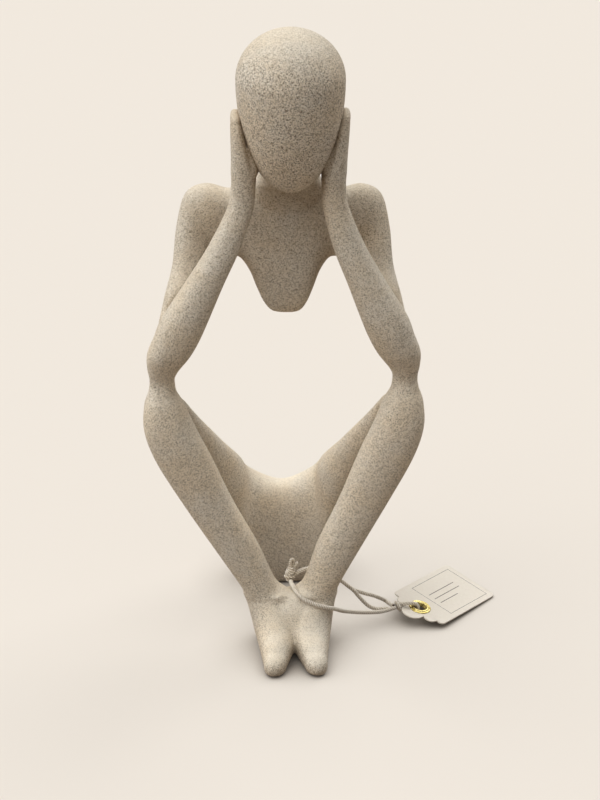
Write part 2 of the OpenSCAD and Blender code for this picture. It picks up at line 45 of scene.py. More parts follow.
cameraSet = {
    "distance": 0.9,  # from the figure, in metres
    "height": 0.52,
    "sideways": 0.00725,
    "turn": 2.5,  # degrees round the figure
    "down": 25,  # degrees below the horizon
    "lens": 110.57,  # mm, on this film for the picture's long side
    "film": 36,
    "clip": (0.05, 20),
}


def makeCamera(s):
    turn, down = math.radians(s["turn"]), math.radians(s["down"])
    right = Vector((math.cos(turn), -math.sin(turn), 0))
    ahead = Vector((math.sin(turn) * math.cos(down), math.cos(turn) * math.cos(down), -math.sin(down)))
    up = right.cross(ahead)
    level = Vector((math.sin(turn), math.cos(turn), 0))
    place = right * s["sideways"] - level * s["distance"] + Vector((0, 0, s["height"]))
    data = bpy.data.cameras.new("camera")
    data.lens = s["lens"]
    data.sensor_width = s["film"]
    data.clip_start, data.clip_end = s["clip"]
    camera = bpy.data.objects.new("camera", data)
    axes = Matrix((right, up, -ahead)).transposed()
    camera.matrix_world = Matrix.Translation(place) @ axes.to_4x4()
    bpy.context.scene.collection.objects.link(camera)
    bpy.context.scene.camera = camera


makeCamera(cameraSet)
print("camera placed")

# Meshes from arrays


def meshPiece(name, points, faces, body=None, slot=None, replaces=()):
    # points are in mm; faces is an array of corner numbers, one row for each face
    mesh = bpy.data.meshes.new(name)
    count, corners = faces.shape
    mesh.vertices.add(len(points))
    mesh.vertices.foreach_set("co", (points * mm).astype(np.float32).ravel())
    mesh.loops.add(count * corners)
    mesh.loops.foreach_set("vertex_index", faces.astype(np.int32).ravel())
    mesh.polygons.add(count)
    mesh.polygons.foreach_set("loop_start", np.arange(0, count * corners, corners, dtype=np.int32))
    mesh.update(calc_edges=True)
    mesh.shade_smooth()
    piece = bpy.data.objects.new(name, mesh)
    bpy.context.scene.collection.objects.link(piece)
    if body:
        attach(piece, body)
        if replaces:
            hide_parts(*replaces)
    return piece


def outward(points, faces):
    # The volume is a sixth of the sum of a . (b x c) over the triangles; below zero, the faces are turned
    a, b, c = (points[faces[:, k]] for k in range(3))
    volume = np.einsum("ij,ij->i", a, np.cross(b, c)).sum() / 6
    return faces if volume > 0 else faces[:, ::-1].copy()


def gridFaces(spans, rows, sides):
    # Two triangles for each square of a grid of rows by sides, over the spans that lie between its rows
    i, k = np.meshgrid(np.arange(spans), np.arange(sides), indexing="ij")
    a, b = i * sides + k, i * sides + (k + 1) % sides
    c, d = (i + 1) % rows * sides + k, (i + 1) % rows * sides + (k + 1) % sides
    return np.concatenate([np.stack([a, c, b], -1), np.stack([b, c, d], -1)]).reshape(-1, 3)


def tubeSkin(rings):
    # rings[i, k] is the point at station i along and angle k round. A point in the middle of the first and
    # of the last ring closes the ends
    rows, sides = rings.shape[:2]
    k = np.arange(sides)
    first = rows * sides
    start = np.stack([k, (k + 1) % sides, np.full(sides, first)], -1)
    end = np.stack([first - sides + (k + 1) % sides, first - sides + k, np.full(sides, first + 1)], -1)
    points = np.concatenate([rings.reshape(-1, 3), rings[[0, -1]].mean(1)])
    return points, outward(points, np.concatenate([gridFaces(rows - 1, rows, sides), start, end]))


def ringSkin(rings):
    # The same for a grid that is closed both ways, as round a loop
    rows, sides = rings.shape[:2]
    points = rings.reshape(-1, 3)
    return points, outward(points, gridFaces(rows, rows, sides))


def around(steps):
    return np.linspace(0, 2 * np.pi, steps, endpoint=False)


def unit(v):
    return v / np.linalg.norm(v, axis=-1, keepdims=True)


def between(a, b, share):
    return a + (b - a) * share


def lengthAlong(path):
    return np.concatenate([[0], np.cumsum(np.linalg.norm(np.diff(path, axis=0), axis=1))])


def through(rows, u):
    # A smooth curve through the rows at places u, where row 0 is at 0 and row 1 at 1: on each span the
    # cubic whose slope at a row is half the step from the row before to the row after
    last = len(rows) - 1
    u = np.atleast_1d(np.asarray(u, float))
    i = np.minimum(np.floor(u).astype(int), last - 1)
    f = (u - i).reshape((-1,) + (1,) * (rows.ndim - 1))
    a, b, c, d = rows[np.maximum(i - 1, 0)], rows[i], rows[i + 1], rows[np.minimum(i + 2, last)]
    return b + f / 2 * (c - a + f * (2 * a - 5 * b + 4 * c - d + f * (3 * b - a - 3 * c + d)))


pole = 0.02  # radius of the first and last ring of a turned form, whose middle then closes it


def turnedRings(profile, sides):
    # A profile of radius and height carried round the axis
    angle = around(sides)
    r, z = np.array(profile, float).T
    return np.stack([r[:, None] * np.cos(angle), r[:, None] * np.sin(angle), z[:, None] + 0 * angle], -1)


# Cord, of three cotton plies

cordSet = {
    "diameter": 1.8,
    "plies": 3,
    "lay": 3.2,  # mm along the cord for one turn of the plies
    "plyShare": 0.52,  # radius of a ply over that of the cord
    "spacing": 0.16,  # mm between stations
    "fine": 60,  # steps on each span of a route, before they are spaced evenly
    "sides": 36,
    "tip": 0.02,  # a blunt end closes to the root of this share
}
frontRoute = [
    [3, -8, 21.6], [3.1, -11.5, 22.4], [3.3, -15.5, 23.7], [3.7, -20.2, 25.1], [4.7, -24.8, 25.6],
    [6.1, -27.7, 25.2], [8, -29.2, 24], [10.6, -29.7, 22.8], [13.4, -30.2, 21.9], [16.5, -29.7, 20.7],
    [18.8, -28.1, 19.3], [20.8, -25.7, 17.5], [22.9, -23.3, 15.4], [26, -19.8, 12.8], [32.3, -15.5, 9.7],
    [39, -11.5, 7.4], [43, -9.4, 6.9], [46.7, -7.2, 6.8],
]
rearRoute = [
    [4.4, -5.7, 22.9], [7.1, -4.4, 23.8], [9.4, -4, 24.5], [12.8, -3.8, 24.7], [16.6, -3.8, 23.9],
    [20.5, -4, 21.5], [24.1, -4.3, 18.9], [29.2, -4, 14.4], [33.5, -3.8, 12.4], [38, -3.8, 10.9],
    [42.5, -1.7, 7.6], [44.5, -3.2, 6.8], [46.1, -5.4, 6.8],
]
spareRoute = [
    [4.4, -7.3, 23.9], [7.1, -6.3, 24.7], [9.4, -5.9, 25.4], [12.8, -5.7, 25.6], [16.6, -5.7, 24.8],
    [20.5, -5.9, 22.4], [24.1, -6.2, 19.8], [29, -6.6, 15.6], [31.3, -6.9, 12.8], [33.5, -7.2, 10.2],
    [35.6, -7.4, 8.2], [38.4, -7.8, 7], [41.3, -8.2, 7], [44, -8, 7],
]


def smoothRoute(route, spacing):
    # Points a spacing apart on the smooth curve through a route, and how far along each is
    route = np.asarray(route, float)
    fine = through(route, np.linspace(0, len(route) - 1, cordSet["fine"] * len(route)))
    run = lengthAlong(fine)
    along = np.linspace(0, run[-1], int(run[-1] / spacing) + 1)
    return np.stack([np.interp(along, run, fine[:, k]) for k in range(3)], -1), along


def cordRings(path, along, beside, diameter, taper=1.0):
    # A ring round each station of the path. The radius at an angle is that of the outermost ply there: a
    # ply's circle stands off the middle, and the plies turn once round the cord for each lay
    s = cordSet
    ahead = unit(np.gradient(path, axis=0))
    u = unit(np.cross(np.broadcast_to(beside, ahead.shape), ahead))[:, None]
    v = np.cross(ahead, u[:, 0])[:, None]
    angle = around(s["sides"])[None, :]
    turned = angle - (2 * np.pi * along / s["lay"])[:, None]
    step = 2 * np.pi / s["plies"]
    off = (turned + step / 2) % step - step / 2  # angle from the nearest ply's middle
    centre = 1 - s["plyShare"]
    share = centre * np.cos(off) + np.sqrt(s["plyShare"] ** 2 - (centre * np.sin(off)) ** 2)
    r = (diameter / 2 * share * np.reshape(taper, (-1, 1)))[..., None]
    rings = path[:, None] + r * (np.cos(angle)[..., None] * u + np.sin(angle)[..., None] * v)
    r = share * s["diameter"] / 2  # as if it were a full cord, so that a thin one has the same grooves
    straight = np.stack([r * np.cos(turned), r * np.sin(turned), along[:, None] + 0 * r], -1)
    return rings, straight


def addCordSpace(piece, straight, ends=True):
    # Keeps each point's place on the cord laid straight, in mm, for the fibres to follow
    values = straight.reshape(-1, 3)
    if ends:
        values = np.concatenate([values, straight[[0, -1]].mean(1)])
    attribute = piece.data.attributes.new("cordSpace", "FLOAT_VECTOR", "POINT")
    attribute.data.foreach_set("vector", values.astype(np.float32).ravel())


def makeCord(name, route, beside, body, replaces, diameter=cordSet["diameter"], blunt=0):
    path, along = smoothRoute(route, cordSet["spacing"] / (2 if blunt else 1))
    taper = 1.0
    if blunt:
        left = np.clip((along[-1] - along) / blunt, 0, 1)
        taper = np.sqrt(np.maximum(1 - (1 - left) ** 2, cordSet["tip"]))
    rings, straight = cordRings(path, along, beside, diameter, taper)
    points, faces = tubeSkin(rings)
    piece = meshPiece(name, points, faces, body, "cotton_cord", replaces)
    addCordSpace(piece, straight)
    return piece, path * mm, along[-1] * mm


cordFront, frontPath, frontLength = makeCord("cordFront", frontRoute, (0, 0, 1), "figure", ["cord_front"])
cordRear, rearPath, rearLength = makeCord("cordRear", rearRoute, (0, 1, 0), "figure", ["cord_rear"])
cordSpare, sparePath, spareLength = makeCord("cordSpare", spareRoute, (0, 1, 0), "figure", ["cord_spare"])
print("cords laid:", round(frontLength, 4), round(rearLength, 4), round(spareLength, 4))

# Figure: the castings' forms, from the same sizes and tables of shares as the CAD

figureSet = {
    "squareness": 0.86,  # below 1, a section is fuller than an ellipse
    "sides": 72,
    "grain": 0.6,  # size of a face on the fused skin
    "passes": 8,  # of smoothing over the whole skin
    "steps": {"arms": 420, "lap": 360, "limb": 300, "neck": 60, "ankles": 40, "hands": 30},  # along each
    "glueOverlap": 6,  # arms and lap run on this far into the limbs in front before they are fused
    "limbOverlap": 2,  # and these this far past the necks between elbow and knee
    "buried": {"arms": 0.8, "lap": 0.85, "limb": 0.97},  # size of the last ring, inside the neighbour
    "jointY": -14,  # glue face between the limbs in front and those behind
    "jointGap": 0.3,
    "limbY": -20,  # forearms and shins
    "linkZ": 117.4,  # the necks between elbow and knee
    "linkApart": 95.6,
    "linkHalf": 5,
    "padZ": 0.8,  # top of the felt pads
}
drift = {"feet": 3.8, "seat": 1.2, "chest": 1.9, "head": 3}  # the middle leans to the figure's left
headSet = {
    "width": 41.4,
    "crown": 19.4,  # from the widest place up
    "jaw": 45,  # and down
    "middle": (3, -17, 240.4),
    "bow": 3,  # degrees forward
    "rings": 120,
    "sides": 144,
}
torsoSet = {
    "shoulderZ": 189.6,
    "armpitZ": 160.4,
    "chestZ": 138.3,  # lowest
    "width": 45.5,
    "y": 8,
    "halfDeep": 8.5,
    "hem": 0.82,  # depth at the bottom, over that at the shoulders
    "lean": 3,
    "sag": 0.055,
}
armSet = {
    "apart": 84,
    "lowZ": 137,
    "half": 8,
    "drop": 1.6,  # the left shoulder stands this much lower than the right
    "flatBelow": 155.5,  # the forearm's back is flat up to here, against the upper arm
    "foreWidth": 18,
    "foreDepth": 18,
    "tipZ": 228.4,
    "handY": -16,
    "handsApart": 36.7,
    "handWidth": 10.2,
    "handDepth": 15,
    "round": 0.03,  # share of the forearm over which the fingertips are rounded
}
legSet = {
    "kneeX": 46,
    "kneeZ": 104,
    "thigh": 18,
    "flatAbove": 81.1,  # the shin's back is flat from here, against the thigh
    "shinWidth": 22.8,
    "shinDepth": 18,
    "feetApart": 16.4,
    "feetMiddle": 3.18,
    "footWidth": 13.4,
    "ankleZ": 27.8,
    "toeY": -51.4,
    "round": 0.19,  # share of the foot over which the toes are rounded
}
seatSet = {"y": 38.9, "depth": 25, "height": 44.2, "hipX": 13, "hipFore": 1 / 9}
# middle and half height over the seat's height, at the hips and between them
seatShares = {"hip": (0.56, 0.59), "lap": (0.36, 0.64)}
neckRows = [  # y, z, half depth along y and along z, half width
    [5.2, 166, 3, 0, 8], [6.8, 173, 5, 0, 13], [8, 180.1, 6.46, 0, 15.2], [6.4, 189.6, 7.65, 0, 14.06],
    [2.4, 196.25, 7.98, 3.8, 11.4], [-5.6, 204.8, 7.6, 5.7, 9.5], [-12, 212.4, 7.6, 5.7, 9.5],
]
ankleWebSet = {  # resin left between the ankles, highest in the middle and open below
    "y": [-13, -18, -22, -26, -30, -33, -35.5],
    "top": [21.6, 22.9, 24, 23.2, 19.8, 15.2, 11],
    "low": [8, 8, 8, 8.5, 9, 9.3, 9.3],
    "halfWide": [7, 10, 14, 14, 9, 5, 2],
}
handWebSet = {  # resin left between the heel of each hand and the jaw
    "x": 2.7,
    "y": -17,
    "halfDeep": 5,
    "z": [215, 210.5, 206.5, 203.8, 201.5],
    "out": [16, 14.8, 14.6, 15, 15.6],
    "halfWide": [2.4, 3.2, 3.2, 2.8, 2],
}
chestShares = np.array([  # out, down
    [0, 0], [0.23, 0.03], [0.37, 0.18], [0.49, 0.44], [0.61, 0.74], [0.76, 0.96], [0.885, 1], [1, 0.97],
])
upperArmShares = np.array([  # out, fore, down, wide, rise, deep, dip
    [0.26, 0, 0.29, 0.40, 1.94, 1.06, 0], [0.475, 0, 0.33, 0.83, 1.71, 1.02, -0.10],
    [0.60, 0.11, 0.45, 0.96, 0.94, 0.95, -0.31], [0.69, 0.36, 0.645, 0.94, 0.44, 0.82, -0.48],
    [0.86, 0.68, 0.82, 0.90, 0.27, 0.68, -0.72], [0.99, 1, 1, 0.92, 0, 0, -1.19],
])
forearmShares = np.array([  # inward, up, back, wide, thick
    [0, 0.028, 0, 0.56, 0.58], [0.02, 0.062, -0.08, 0.70, 0.70], [0.095, 0.118, -0.25, 0.95, 0.92],
    [0.2, 0.181, -0.40, 1.01, 1], [0.315, 0.258, -0.50, 1.02, 0.97], [0.555, 0.384, -0.40, 0.84, 0.83],
    [0.803, 0.514, -0.10, 0.70, 0.69], [1, 0.65, 0.45, 0.56, 0.61],
])
handShares = np.array([
    [1.036, 0.726, 0.75, 0.92, 0.83], [1.036, 0.785, 0.88, 0.95, 0.95], [1.008, 0.834, 0.93, 0.80, 1],
    [0.96, 0.924, 1, 0.60, 0.96], [0.93, 0.970, 1, 0.44, 0.80],
])
shinShares = np.array([  # inward, down, fore, wide, thick
    [0, 0.031, 0.006, 0.50, 0.69], [0.015, 0.076, 0.02, 0.70, 0.88], [0.066, 0.165, 0.045, 0.90, 1],
    [0.195, 0.276, 0.064, 0.98, 0.96], [0.416, 0.438, 0.060, 0.88, 0.91],
    [0.672, 0.608, 0.045, 0.80, 0.87], [0.878, 0.763, 0, 0.655, 0.89],
])
footShares = np.array([  # out, fore, up, wide, back, rise
    [1.157, -0.003, 0.813, 1.455, 0.265, -0.06], [1.085, -0.005, 0.638, 1.345, 0.282, -0.15],
    [0.82, 0.10, 0.284, 1.36, 0.29, -0.36], [0.83, 0.414, 0.205, 1.12, 0.127, -0.277],
    [0.935, 0.661, 0.162, 0.85, 0.056, -0.234], [1, 0.81, 0.145, 0.70, 0.008, -0.180],
])
thighShares = np.array([  # inward, back, down, wide, deep, rise, turn, tall
    [0, 0, 0, 0.84, 0, 0, 0, 0.70], [0.105, 0.21, 0.148, 0.92, 0.39, -0.39, 0.33, 0.68],
    [0.288, 0.458, 0.308, 0.83, 0.61, -0.50, 0.44, 0.70], [0.503, 0.744, 0.52, 0.58, 1.09, -0.50, 0.39, 1.35],
])


def armDrift(z):
    low, top, tip = figureSet["linkZ"], torsoSet["shoulderZ"], armSet["tipZ"]
    below = drift["chest"] * (np.maximum(z - low, 0) / (top - low)) ** 2
    return np.where(z < top, below, between(drift["chest"], drift["head"], (z - top) / (tip - top)))


def armDrop(x):
    return -armSet["drop"] / armSet["apart"] * x


def legDrift(z):
    return drift["feet"] * np.maximum(1 - z / figureSet["linkZ"], 0) ** 2


def seatDrift(x):
    return drift["seat"] * (1 - x / legSet["kneeX"])


def stations(middle, halfDeep, halfWide):
    # One row for each station: its middle and the two half axes of its section, as vectors
    def column(vector):
        return np.stack(np.broadcast_arrays(*map(np.atleast_1d, vector)), -1)

    columns = np.broadcast_arrays(column(middle), column(halfDeep), column(halfWide))
    return np.stack(columns, 1).astype(float)


def chestRows(side):
    s = torsoSet
    out, down = chestShares.T
    top = s["shoulderZ"] - s["sag"] * (s["shoulderZ"] - s["armpitZ"])
    low = between(s["chestZ"], s["armpitZ"], down)
    z = (top + low) / 2
    lean = s["lean"] * (1 - down)
    x = side * out * s["width"] / 2
    middle = (x + between(drift["chest"], armDrift(z), out), s["y"] - lean, z + armDrop(x))
    return stations(middle, (0, s["halfDeep"] * between(s["hem"], 1, down), 0), (0, lean, (top - low) / 2))


def upperArmRows(side):
    out, fore, down, wide, rise, deep, dip = upperArmShares.T
    half = armSet["half"]
    z = between(torsoSet["shoulderZ"], armSet["lowZ"], down)
    x = side * between(torsoSet["width"], armSet["apart"], out) / 2
    middle = (x + armDrift(z), between(torsoSet["y"], figureSet["jointY"], fore), z + armDrop(x))
    return stations(middle, (0, half * deep, half * dip), (side * half * wide, 0, half * rise))


def linkRow(side):
    half = figureSet["linkHalf"]
    middle = (side * figureSet["linkApart"] / 2, figureSet["limbY"], figureSet["linkZ"])
    return stations(middle, (0, half, 0), (side * half, 0, 0))


def forearmRows(side):
    def rows(shares, width, depth):
        inward, up, back, wide, thick = shares.T
        z = between(figureSet["linkZ"], armSet["tipZ"], up)
        x = side * between(figureSet["linkApart"], armSet["handsApart"], inward) / 2 + armDrift(z)
        middle = (x, between(figureSet["limbY"], armSet["handY"], back), z)
        return stations(middle, (0, depth / 2 * thick, 0), (side * width / 2 * wide, 0, 0))

    forearm = rows(forearmShares, armSet["foreWidth"], armSet["foreDepth"])
    hand = rows(handShares, armSet["handWidth"], armSet["handDepth"])
    return np.concatenate([linkRow(side), forearm, hand])


def footLength():
    return figureSet["limbY"] - legSet["toeY"]


def shinRows(side):
    s = legSet
    inward, down, fore, wide, thick = shinShares.T
    z = figureSet["linkZ"] * (1 - down)
    x = side * between(figureSet["linkApart"], s["feetApart"], inward) / 2 + legDrift(z)
    middle = (x, between(figureSet["limbY"], s["toeY"], fore), z)
    shin = stations(middle, (0, s["shinDepth"] / 2 * thick, 0), (side * s["shinWidth"] / 2 * wide, 0, 0))
    out, fore, up, wide, back, rise = footShares.T
    z = s["ankleZ"] * up
    middle = (side * s["feetApart"] / 2 * out + legDrift(z), between(figureSet["limbY"], s["toeY"], fore), z)
    halfWide = (side * s["footWidth"] / 2 * wide, 0, 0)
    foot = stations(middle, (0, footLength() * back, s["ankleZ"] * rise), halfWide)
    return np.concatenate([linkRow(side), shin, foot])


def thighRows(side):
    inward, back, down, wide, deep, rise, turn, tall = thighShares.T
    half = legSet["thigh"] / 2
    x = legSet["kneeX"] * (1 - inward)
    y = between(figureSet["jointY"], seatSet["y"], back)
    middle = (side * x + seatDrift(x), y, legSet["kneeZ"] * (1 - down))
    halfWide = (side * half * rise, half * turn, half * tall)
    return stations(middle, (side * half * wide, half * deep, 0), halfWide)


def seatRows():
    s = seatSet

    def row(x, y, shares):
        middle, half = (s["height"] * share for share in shares)
        return stations((x, y, middle), (0, s["depth"] / 2, 0), (0, 0, half))

    x, y = s["hipX"], s["y"] - s["depth"] * s["hipFore"]
    hips = [row(side * x + seatDrift(x), y, seatShares["hip"]) for side in (-1, 1)]
    return np.concatenate([hips[0], row(drift["seat"], s["y"], seatShares["lap"]), hips[1]])


def runOn(rings, step, scale, atEnd):
    # One more ring past an end, inside the neighbouring form: the end ring, shrunk and moved on
    last = rings[-1 if atEnd else 0]
    middle = last.mean(0)
    extra = (middle + (last - middle) * scale + step)[None]
    return np.concatenate([rings, extra] if atEnd else [extra, rings])


def formRings(rows, steps, reach=0):
    # A section at a station is middle + deep * c + wide * s, where c and s are the cosine and sine of the
    # angle, each raised to the squareness with its sign kept. With a reach, the last section shrinks by a
    # cosine while it moves on by a sine, which rounds the end
    last = len(rows) - 1
    row = through(rows, np.linspace(0, last, steps))
    if reach:
        ahead = unit(row[-1, 0] - through(rows, last - 0.1)[0, 0])
        q = np.radians([12, 25, 38, 50, 60, 68, 76, 83, 88])
        end = np.repeat(row[-1:], len(q), 0)
        end[:, 0] += ahead * (reach * np.sin(q))[:, None]
        end[:, 1:] *= np.cos(q)[:, None, None]
        row = np.concatenate([row, end])
    angle = around(figureSet["sides"])
    c, s = (np.sign(t) * np.abs(t) ** figureSet["squareness"] for t in (np.cos(angle), np.sin(angle)))
    return row[:, None, 0] + c[None, :, None] * row[:, None, 1] + s[None, :, None] * row[:, None, 2]


def eggLevel(points):
    # Below 1 inside the head: the distance from the head's axis over its half width and the height over
    # that of the crown or the jaw, squared, added and rooted
    bow = math.radians(headSet["bow"])
    x, y, z = (points - np.array(headSet["middle"])).T
    y, z = y * math.cos(bow) + z * math.sin(bow), z * math.cos(bow) - y * math.sin(bow)
    tall = np.where(z > 0, headSet["crown"], headSet["jaw"])
    return np.sqrt((x**2 + y**2) / (headSet["width"] / 2) ** 2 + (z / tall) ** 2)


def eggRings():
    bow = math.radians(headSet["bow"])
    q = np.linspace(math.pi / 2 - pole, pole - math.pi / 2, headSet["rings"])[:, None]
    angle = around(headSet["sides"])[None, :]
    r = headSet["width"] / 2 * np.cos(q)
    z = np.where(q > 0, headSet["crown"], headSet["jaw"]) * np.sin(q) + 0 * angle
    x, y = r * np.cos(angle), r * np.sin(angle)
    turned = np.stack([x, y * math.cos(bow) - z * math.sin(bow), y * math.sin(bow) + z * math.cos(bow)], -1)
    return turned + np.array(headSet["middle"])


def figureForms():
    forms, steps, buried = [], figureSet["steps"], figureSet["buried"]
    front = np.array([0, -figureSet["glueOverlap"], 0.0])
    arms = np.concatenate([upperArmRows(-1)[::-1], chestRows(-1)[:0:-1], chestRows(1), upperArmRows(1)])
    rings = runOn(formRings(arms, steps["arms"]), front, buried["arms"], False)
    forms.append(runOn(rings, front, buried["arms"], True))
    legs = np.concatenate([thighRows(-1), seatRows(), thighRows(1)[::-1]])
    rings = runOn(formRings(legs, steps["lap"]), front, buried["lap"], False)
    rings = runOn(rings, front, buried["lap"], True)
    rings[..., 2] = np.maximum(rings[..., 2], figureSet["padZ"])
    forms.append(rings)
    flatY = figureSet["jointY"] - figureSet["jointGap"]
    down = np.array([0, 0, -float(figureSet["limbOverlap"])])
    for side in (1, -1):
        reach = (armSet["tipZ"] - figureSet["linkZ"]) * armSet["round"]
        rings = runOn(formRings(forearmRows(side), steps["limb"], reach), down, buried["limb"], False)
        x, y, z = np.moveaxis(rings, -1, 0)
        forms.append(np.stack([x, np.where(z < armSet["flatBelow"], np.minimum(y, flatY), y), z], -1))
        reach = footLength() * legSet["round"]
        rings = runOn(formRings(shinRows(side), steps["limb"], reach), -down, buried["limb"], False)
        x, y, z = np.moveaxis(rings, -1, 0)
        # the feet overlap a little past the plane between them
        x = side * np.maximum(side * x, side * (legSet["feetMiddle"] - side * figureSet["jointGap"]))
        y = np.where(z > legSet["flatAbove"], np.minimum(y, flatY), y)
        forms.append(np.stack([x, y, np.maximum(z, figureSet["padZ"])], -1))
    y, z, deep, tilt, wide = np.array(neckRows, float).T
    forms.append(formRings(stations((drift["head"], y, z), (0, deep, tilt), (-wide, 0, 0)), steps["neck"]))
    y, top, low, wide = (np.array(ankleWebSet[k]) for k in ("y", "top", "low", "halfWide"))
    middle = (legSet["feetMiddle"], y, (top + low) / 2)
    forms.append(formRings(stations(middle, (0, 0, (top - low) / 2), (wide, 0, 0)), steps["ankles"]))
    s = handWebSet
    z, out, wide = (np.array(s[k]) for k in ("z", "out", "halfWide"))
    for side in (1, -1):
        middle = (s["x"] + side * out, s["y"], z)
        forms.append(formRings(stations(middle, (0, s["halfDeep"], 0), (-wide, 0, 0)), steps["hands"]))
    return forms


def fuse(forms, grain):
    # Fuses closed skins into one, with faces of a grain in size, and returns its points and triangles
    points, faces, start = [], [], 0
    for rings in forms:
        p, f = tubeSkin(rings)
        points.append(p)
        faces.append(f + start)
        start += len(p)
    source = meshPiece("fusing", np.concatenate(points), np.concatenate(faces))
    source.data.transform(Matrix.Scale(1 / mm, 4))  # in mm, so that the grid is fine enough
    fusing = source.modifiers.new("fusing", "REMESH")
    fusing.mode = "VOXEL"
    fusing.voxel_size = grain
    fused = source.evaluated_get(bpy.context.evaluated_depsgraph_get()).to_mesh()
    co = np.empty(len(fused.vertices) * 3, np.float32)
    fused.vertices.foreach_get("co", co)
    fused.calc_loop_triangles()
    corners = np.empty(len(fused.loop_triangles) * 3, np.int32)
    fused.loop_triangles.foreach_get("vertices", corners)
    bpy.data.objects.remove(source)
    return co.reshape(-1, 3).astype(float), corners.reshape(-1, 3).astype(np.int64)


def totals(index, values, count):
    # The sum of the rows of values that go to each index
    return np.stack([np.bincount(index, values[:, k], count) for k in range(3)], -1)


def smoothed(points, faces, passes, grip):
    # Moves each point towards the mean of its neighbours and then a little further back, which evens out
    # the skin without shrinking it. grip is 0 to 1 for each point
    edges = np.sort(np.concatenate([faces[:, [0, 1]], faces[:, [1, 2]], faces[:, [2, 0]]]), axis=1)
    edges = np.unique(edges, axis=0)
    a, b = np.concatenate([edges, edges[:, ::-1]]).T
    count = np.bincount(a, minlength=len(points))[:, None]
    for step in [0.5, -0.52] * passes:
        mean = totals(a, points[b], len(points)) / count
        points = points + (mean - points) * step * grip[:, None]
    return points


eveningSet = [  # middle, reach and passes of each place that is rubbed smooth by hand
    ((3.2, -27, 16), (17, 13, 13), 160),
    ((3.2, -23, 21), (17, 9, 8.5), 220),
    ((-40, -14, 108), (9, 9, 9), 90),
    ((41, -14, 108), (9, 9, 9), 90),
]


def evened(points, faces, places):
    # Smooths some places more: the grip falls to 0 at the reach, and is 1 within a third of it
    for middle, reach, passes in places:
        away = np.linalg.norm((points - np.array(middle)) / np.array(reach), axis=1)
        near = (away[faces] < 1).any(1)
        used, flat = np.unique(faces[near], return_inverse=True)
        grip = np.clip(1.5 - 1.5 * away[used], 0, 1)
        points = points.copy()
        points[used] = smoothed(points[used], flat.reshape(-1, 3), passes, grip)
    return points


def crossed(points, faces):
    # A vector square to each triangle, as long as twice its area
    a, b, c = (points[faces[:, k]] for k in range(3))
    return np.cross(b - a, c - a)


def asSkin(points, faces):
    # A skin is its points, their normals, its triangles, and which of those close a cut
    normals = totals(faces.ravel(), np.repeat(crossed(points, faces), 3, axis=0), len(points))
    return points, unit(normals), faces, np.zeros(len(faces), bool)


def cut(skin, level):
    # Cuts a closed skin where level, a value at each point, is 0, and closes both halves with a fan from
    # the middle of each cut loop. A cut edge's new point is where the level is 0 between its two ends
    points, normals, faces, cap = skin
    least = 1e-4  # so that no point lies on the cut itself
    level = np.where(np.abs(level) < least, least, level)
    above = level > 0
    tally = above[faces].sum(1)
    isMixed = (tally == 1) | (tally == 2)
    mixed, mixedCap = faces[isMixed], cap[isMixed]
    lone = np.where(above[mixed].sum(1) == 1, above[mixed].argmax(1), (~above[mixed]).argmax(1))
    turn = (lone[:, None] + np.arange(3)) % 3
    a, b, c = np.take_along_axis(mixed, turn, 1).T
    edge = np.sort(np.concatenate([np.stack([a, b], -1), np.stack([a, c], -1)]), 1)
    edge, where = np.unique(edge, axis=0, return_inverse=True)
    i, j = edge.T
    share = (level[i] / (level[i] - level[j]))[:, None]
    fresh = len(points) + where.reshape(-1)
    ab, ac = fresh[: len(a)], fresh[len(a) :]
    allPoints = np.concatenate([points, between(points[i], points[j], share)])
    allNormals = np.concatenate([normals, unit(between(normals[i], normals[j], share))])
    tip = np.stack([a, ab, ac], -1)
    rest = np.concatenate([np.stack([ab, b, c], -1), np.stack([ab, c, ac], -1)])
    tipAbove = above[a]
    restAbove, restCap = np.tile(~tipAbove, 2), np.tile(mixedCap, 2)
    # the cut edge as the upper half's border runs; each new point follows another round a loop
    upper = np.where(tipAbove[:, None], np.stack([ab, ac], -1), np.stack([ac, ab], -1)) - len(points)
    follow = np.empty(len(edge), int)
    follow[upper[:, 0]] = upper[:, 1]
    label, ahead = np.arange(len(edge)), follow.copy()
    for _ in range(int(math.log2(len(edge) + 2)) + 2):
        label, ahead = np.minimum(label, label[ahead]), ahead[ahead]
    loops, loopOf = np.unique(label, return_inverse=True)
    middle = totals(loopOf, allPoints[len(points) :], len(loops)) / np.bincount(loopOf)[:, None]
    hub = len(allPoints) + loopOf[upper[:, 0]]
    fan = np.stack([upper[:, 1] + len(points), upper[:, 0] + len(points), hub], -1)
    allPoints = np.concatenate([allPoints, middle])
    allNormals = np.concatenate([allNormals, np.tile([0, 0, 1.0], (len(loops), 1))])
    halves = []
    for up in (True, False):
        whole = tally == (3 if up else 0)
        turnedFan = fan if up else fan[:, ::-1]
        part = np.concatenate([faces[whole], tip[tipAbove == up], rest[restAbove == up], turnedFan])
        fanCap = np.ones(len(fan), bool)
        partCap = np.concatenate([cap[whole], mixedCap[tipAbove == up], restCap[restAbove == up], fanCap])
        used, flat = np.unique(part, return_inverse=True)
        halves.append((allPoints[used], allNormals[used], flat.reshape(-1, 3), partCap))
    return halves


def cutAcross(skin, x):
    return cut(skin, skin[0][:, 0] - x)


cutSet = {
    "head": 0.999,  # share of the egg that is cut out of the rest for it
    "neckHalf": 11.5,
    "neckZ": 176,  # the neck, this wide and from here up, goes to the torso
    "elbowZ": 150,
    "handY": -7,  # what is in front of this, above elbowZ, goes to the forearms
    "chestZ": 174.2,  # where the shoulders' glue faces are centred
    "shinZ": 86,
    "shinY": -9,  # in front of this, below shinZ, are the shins
}


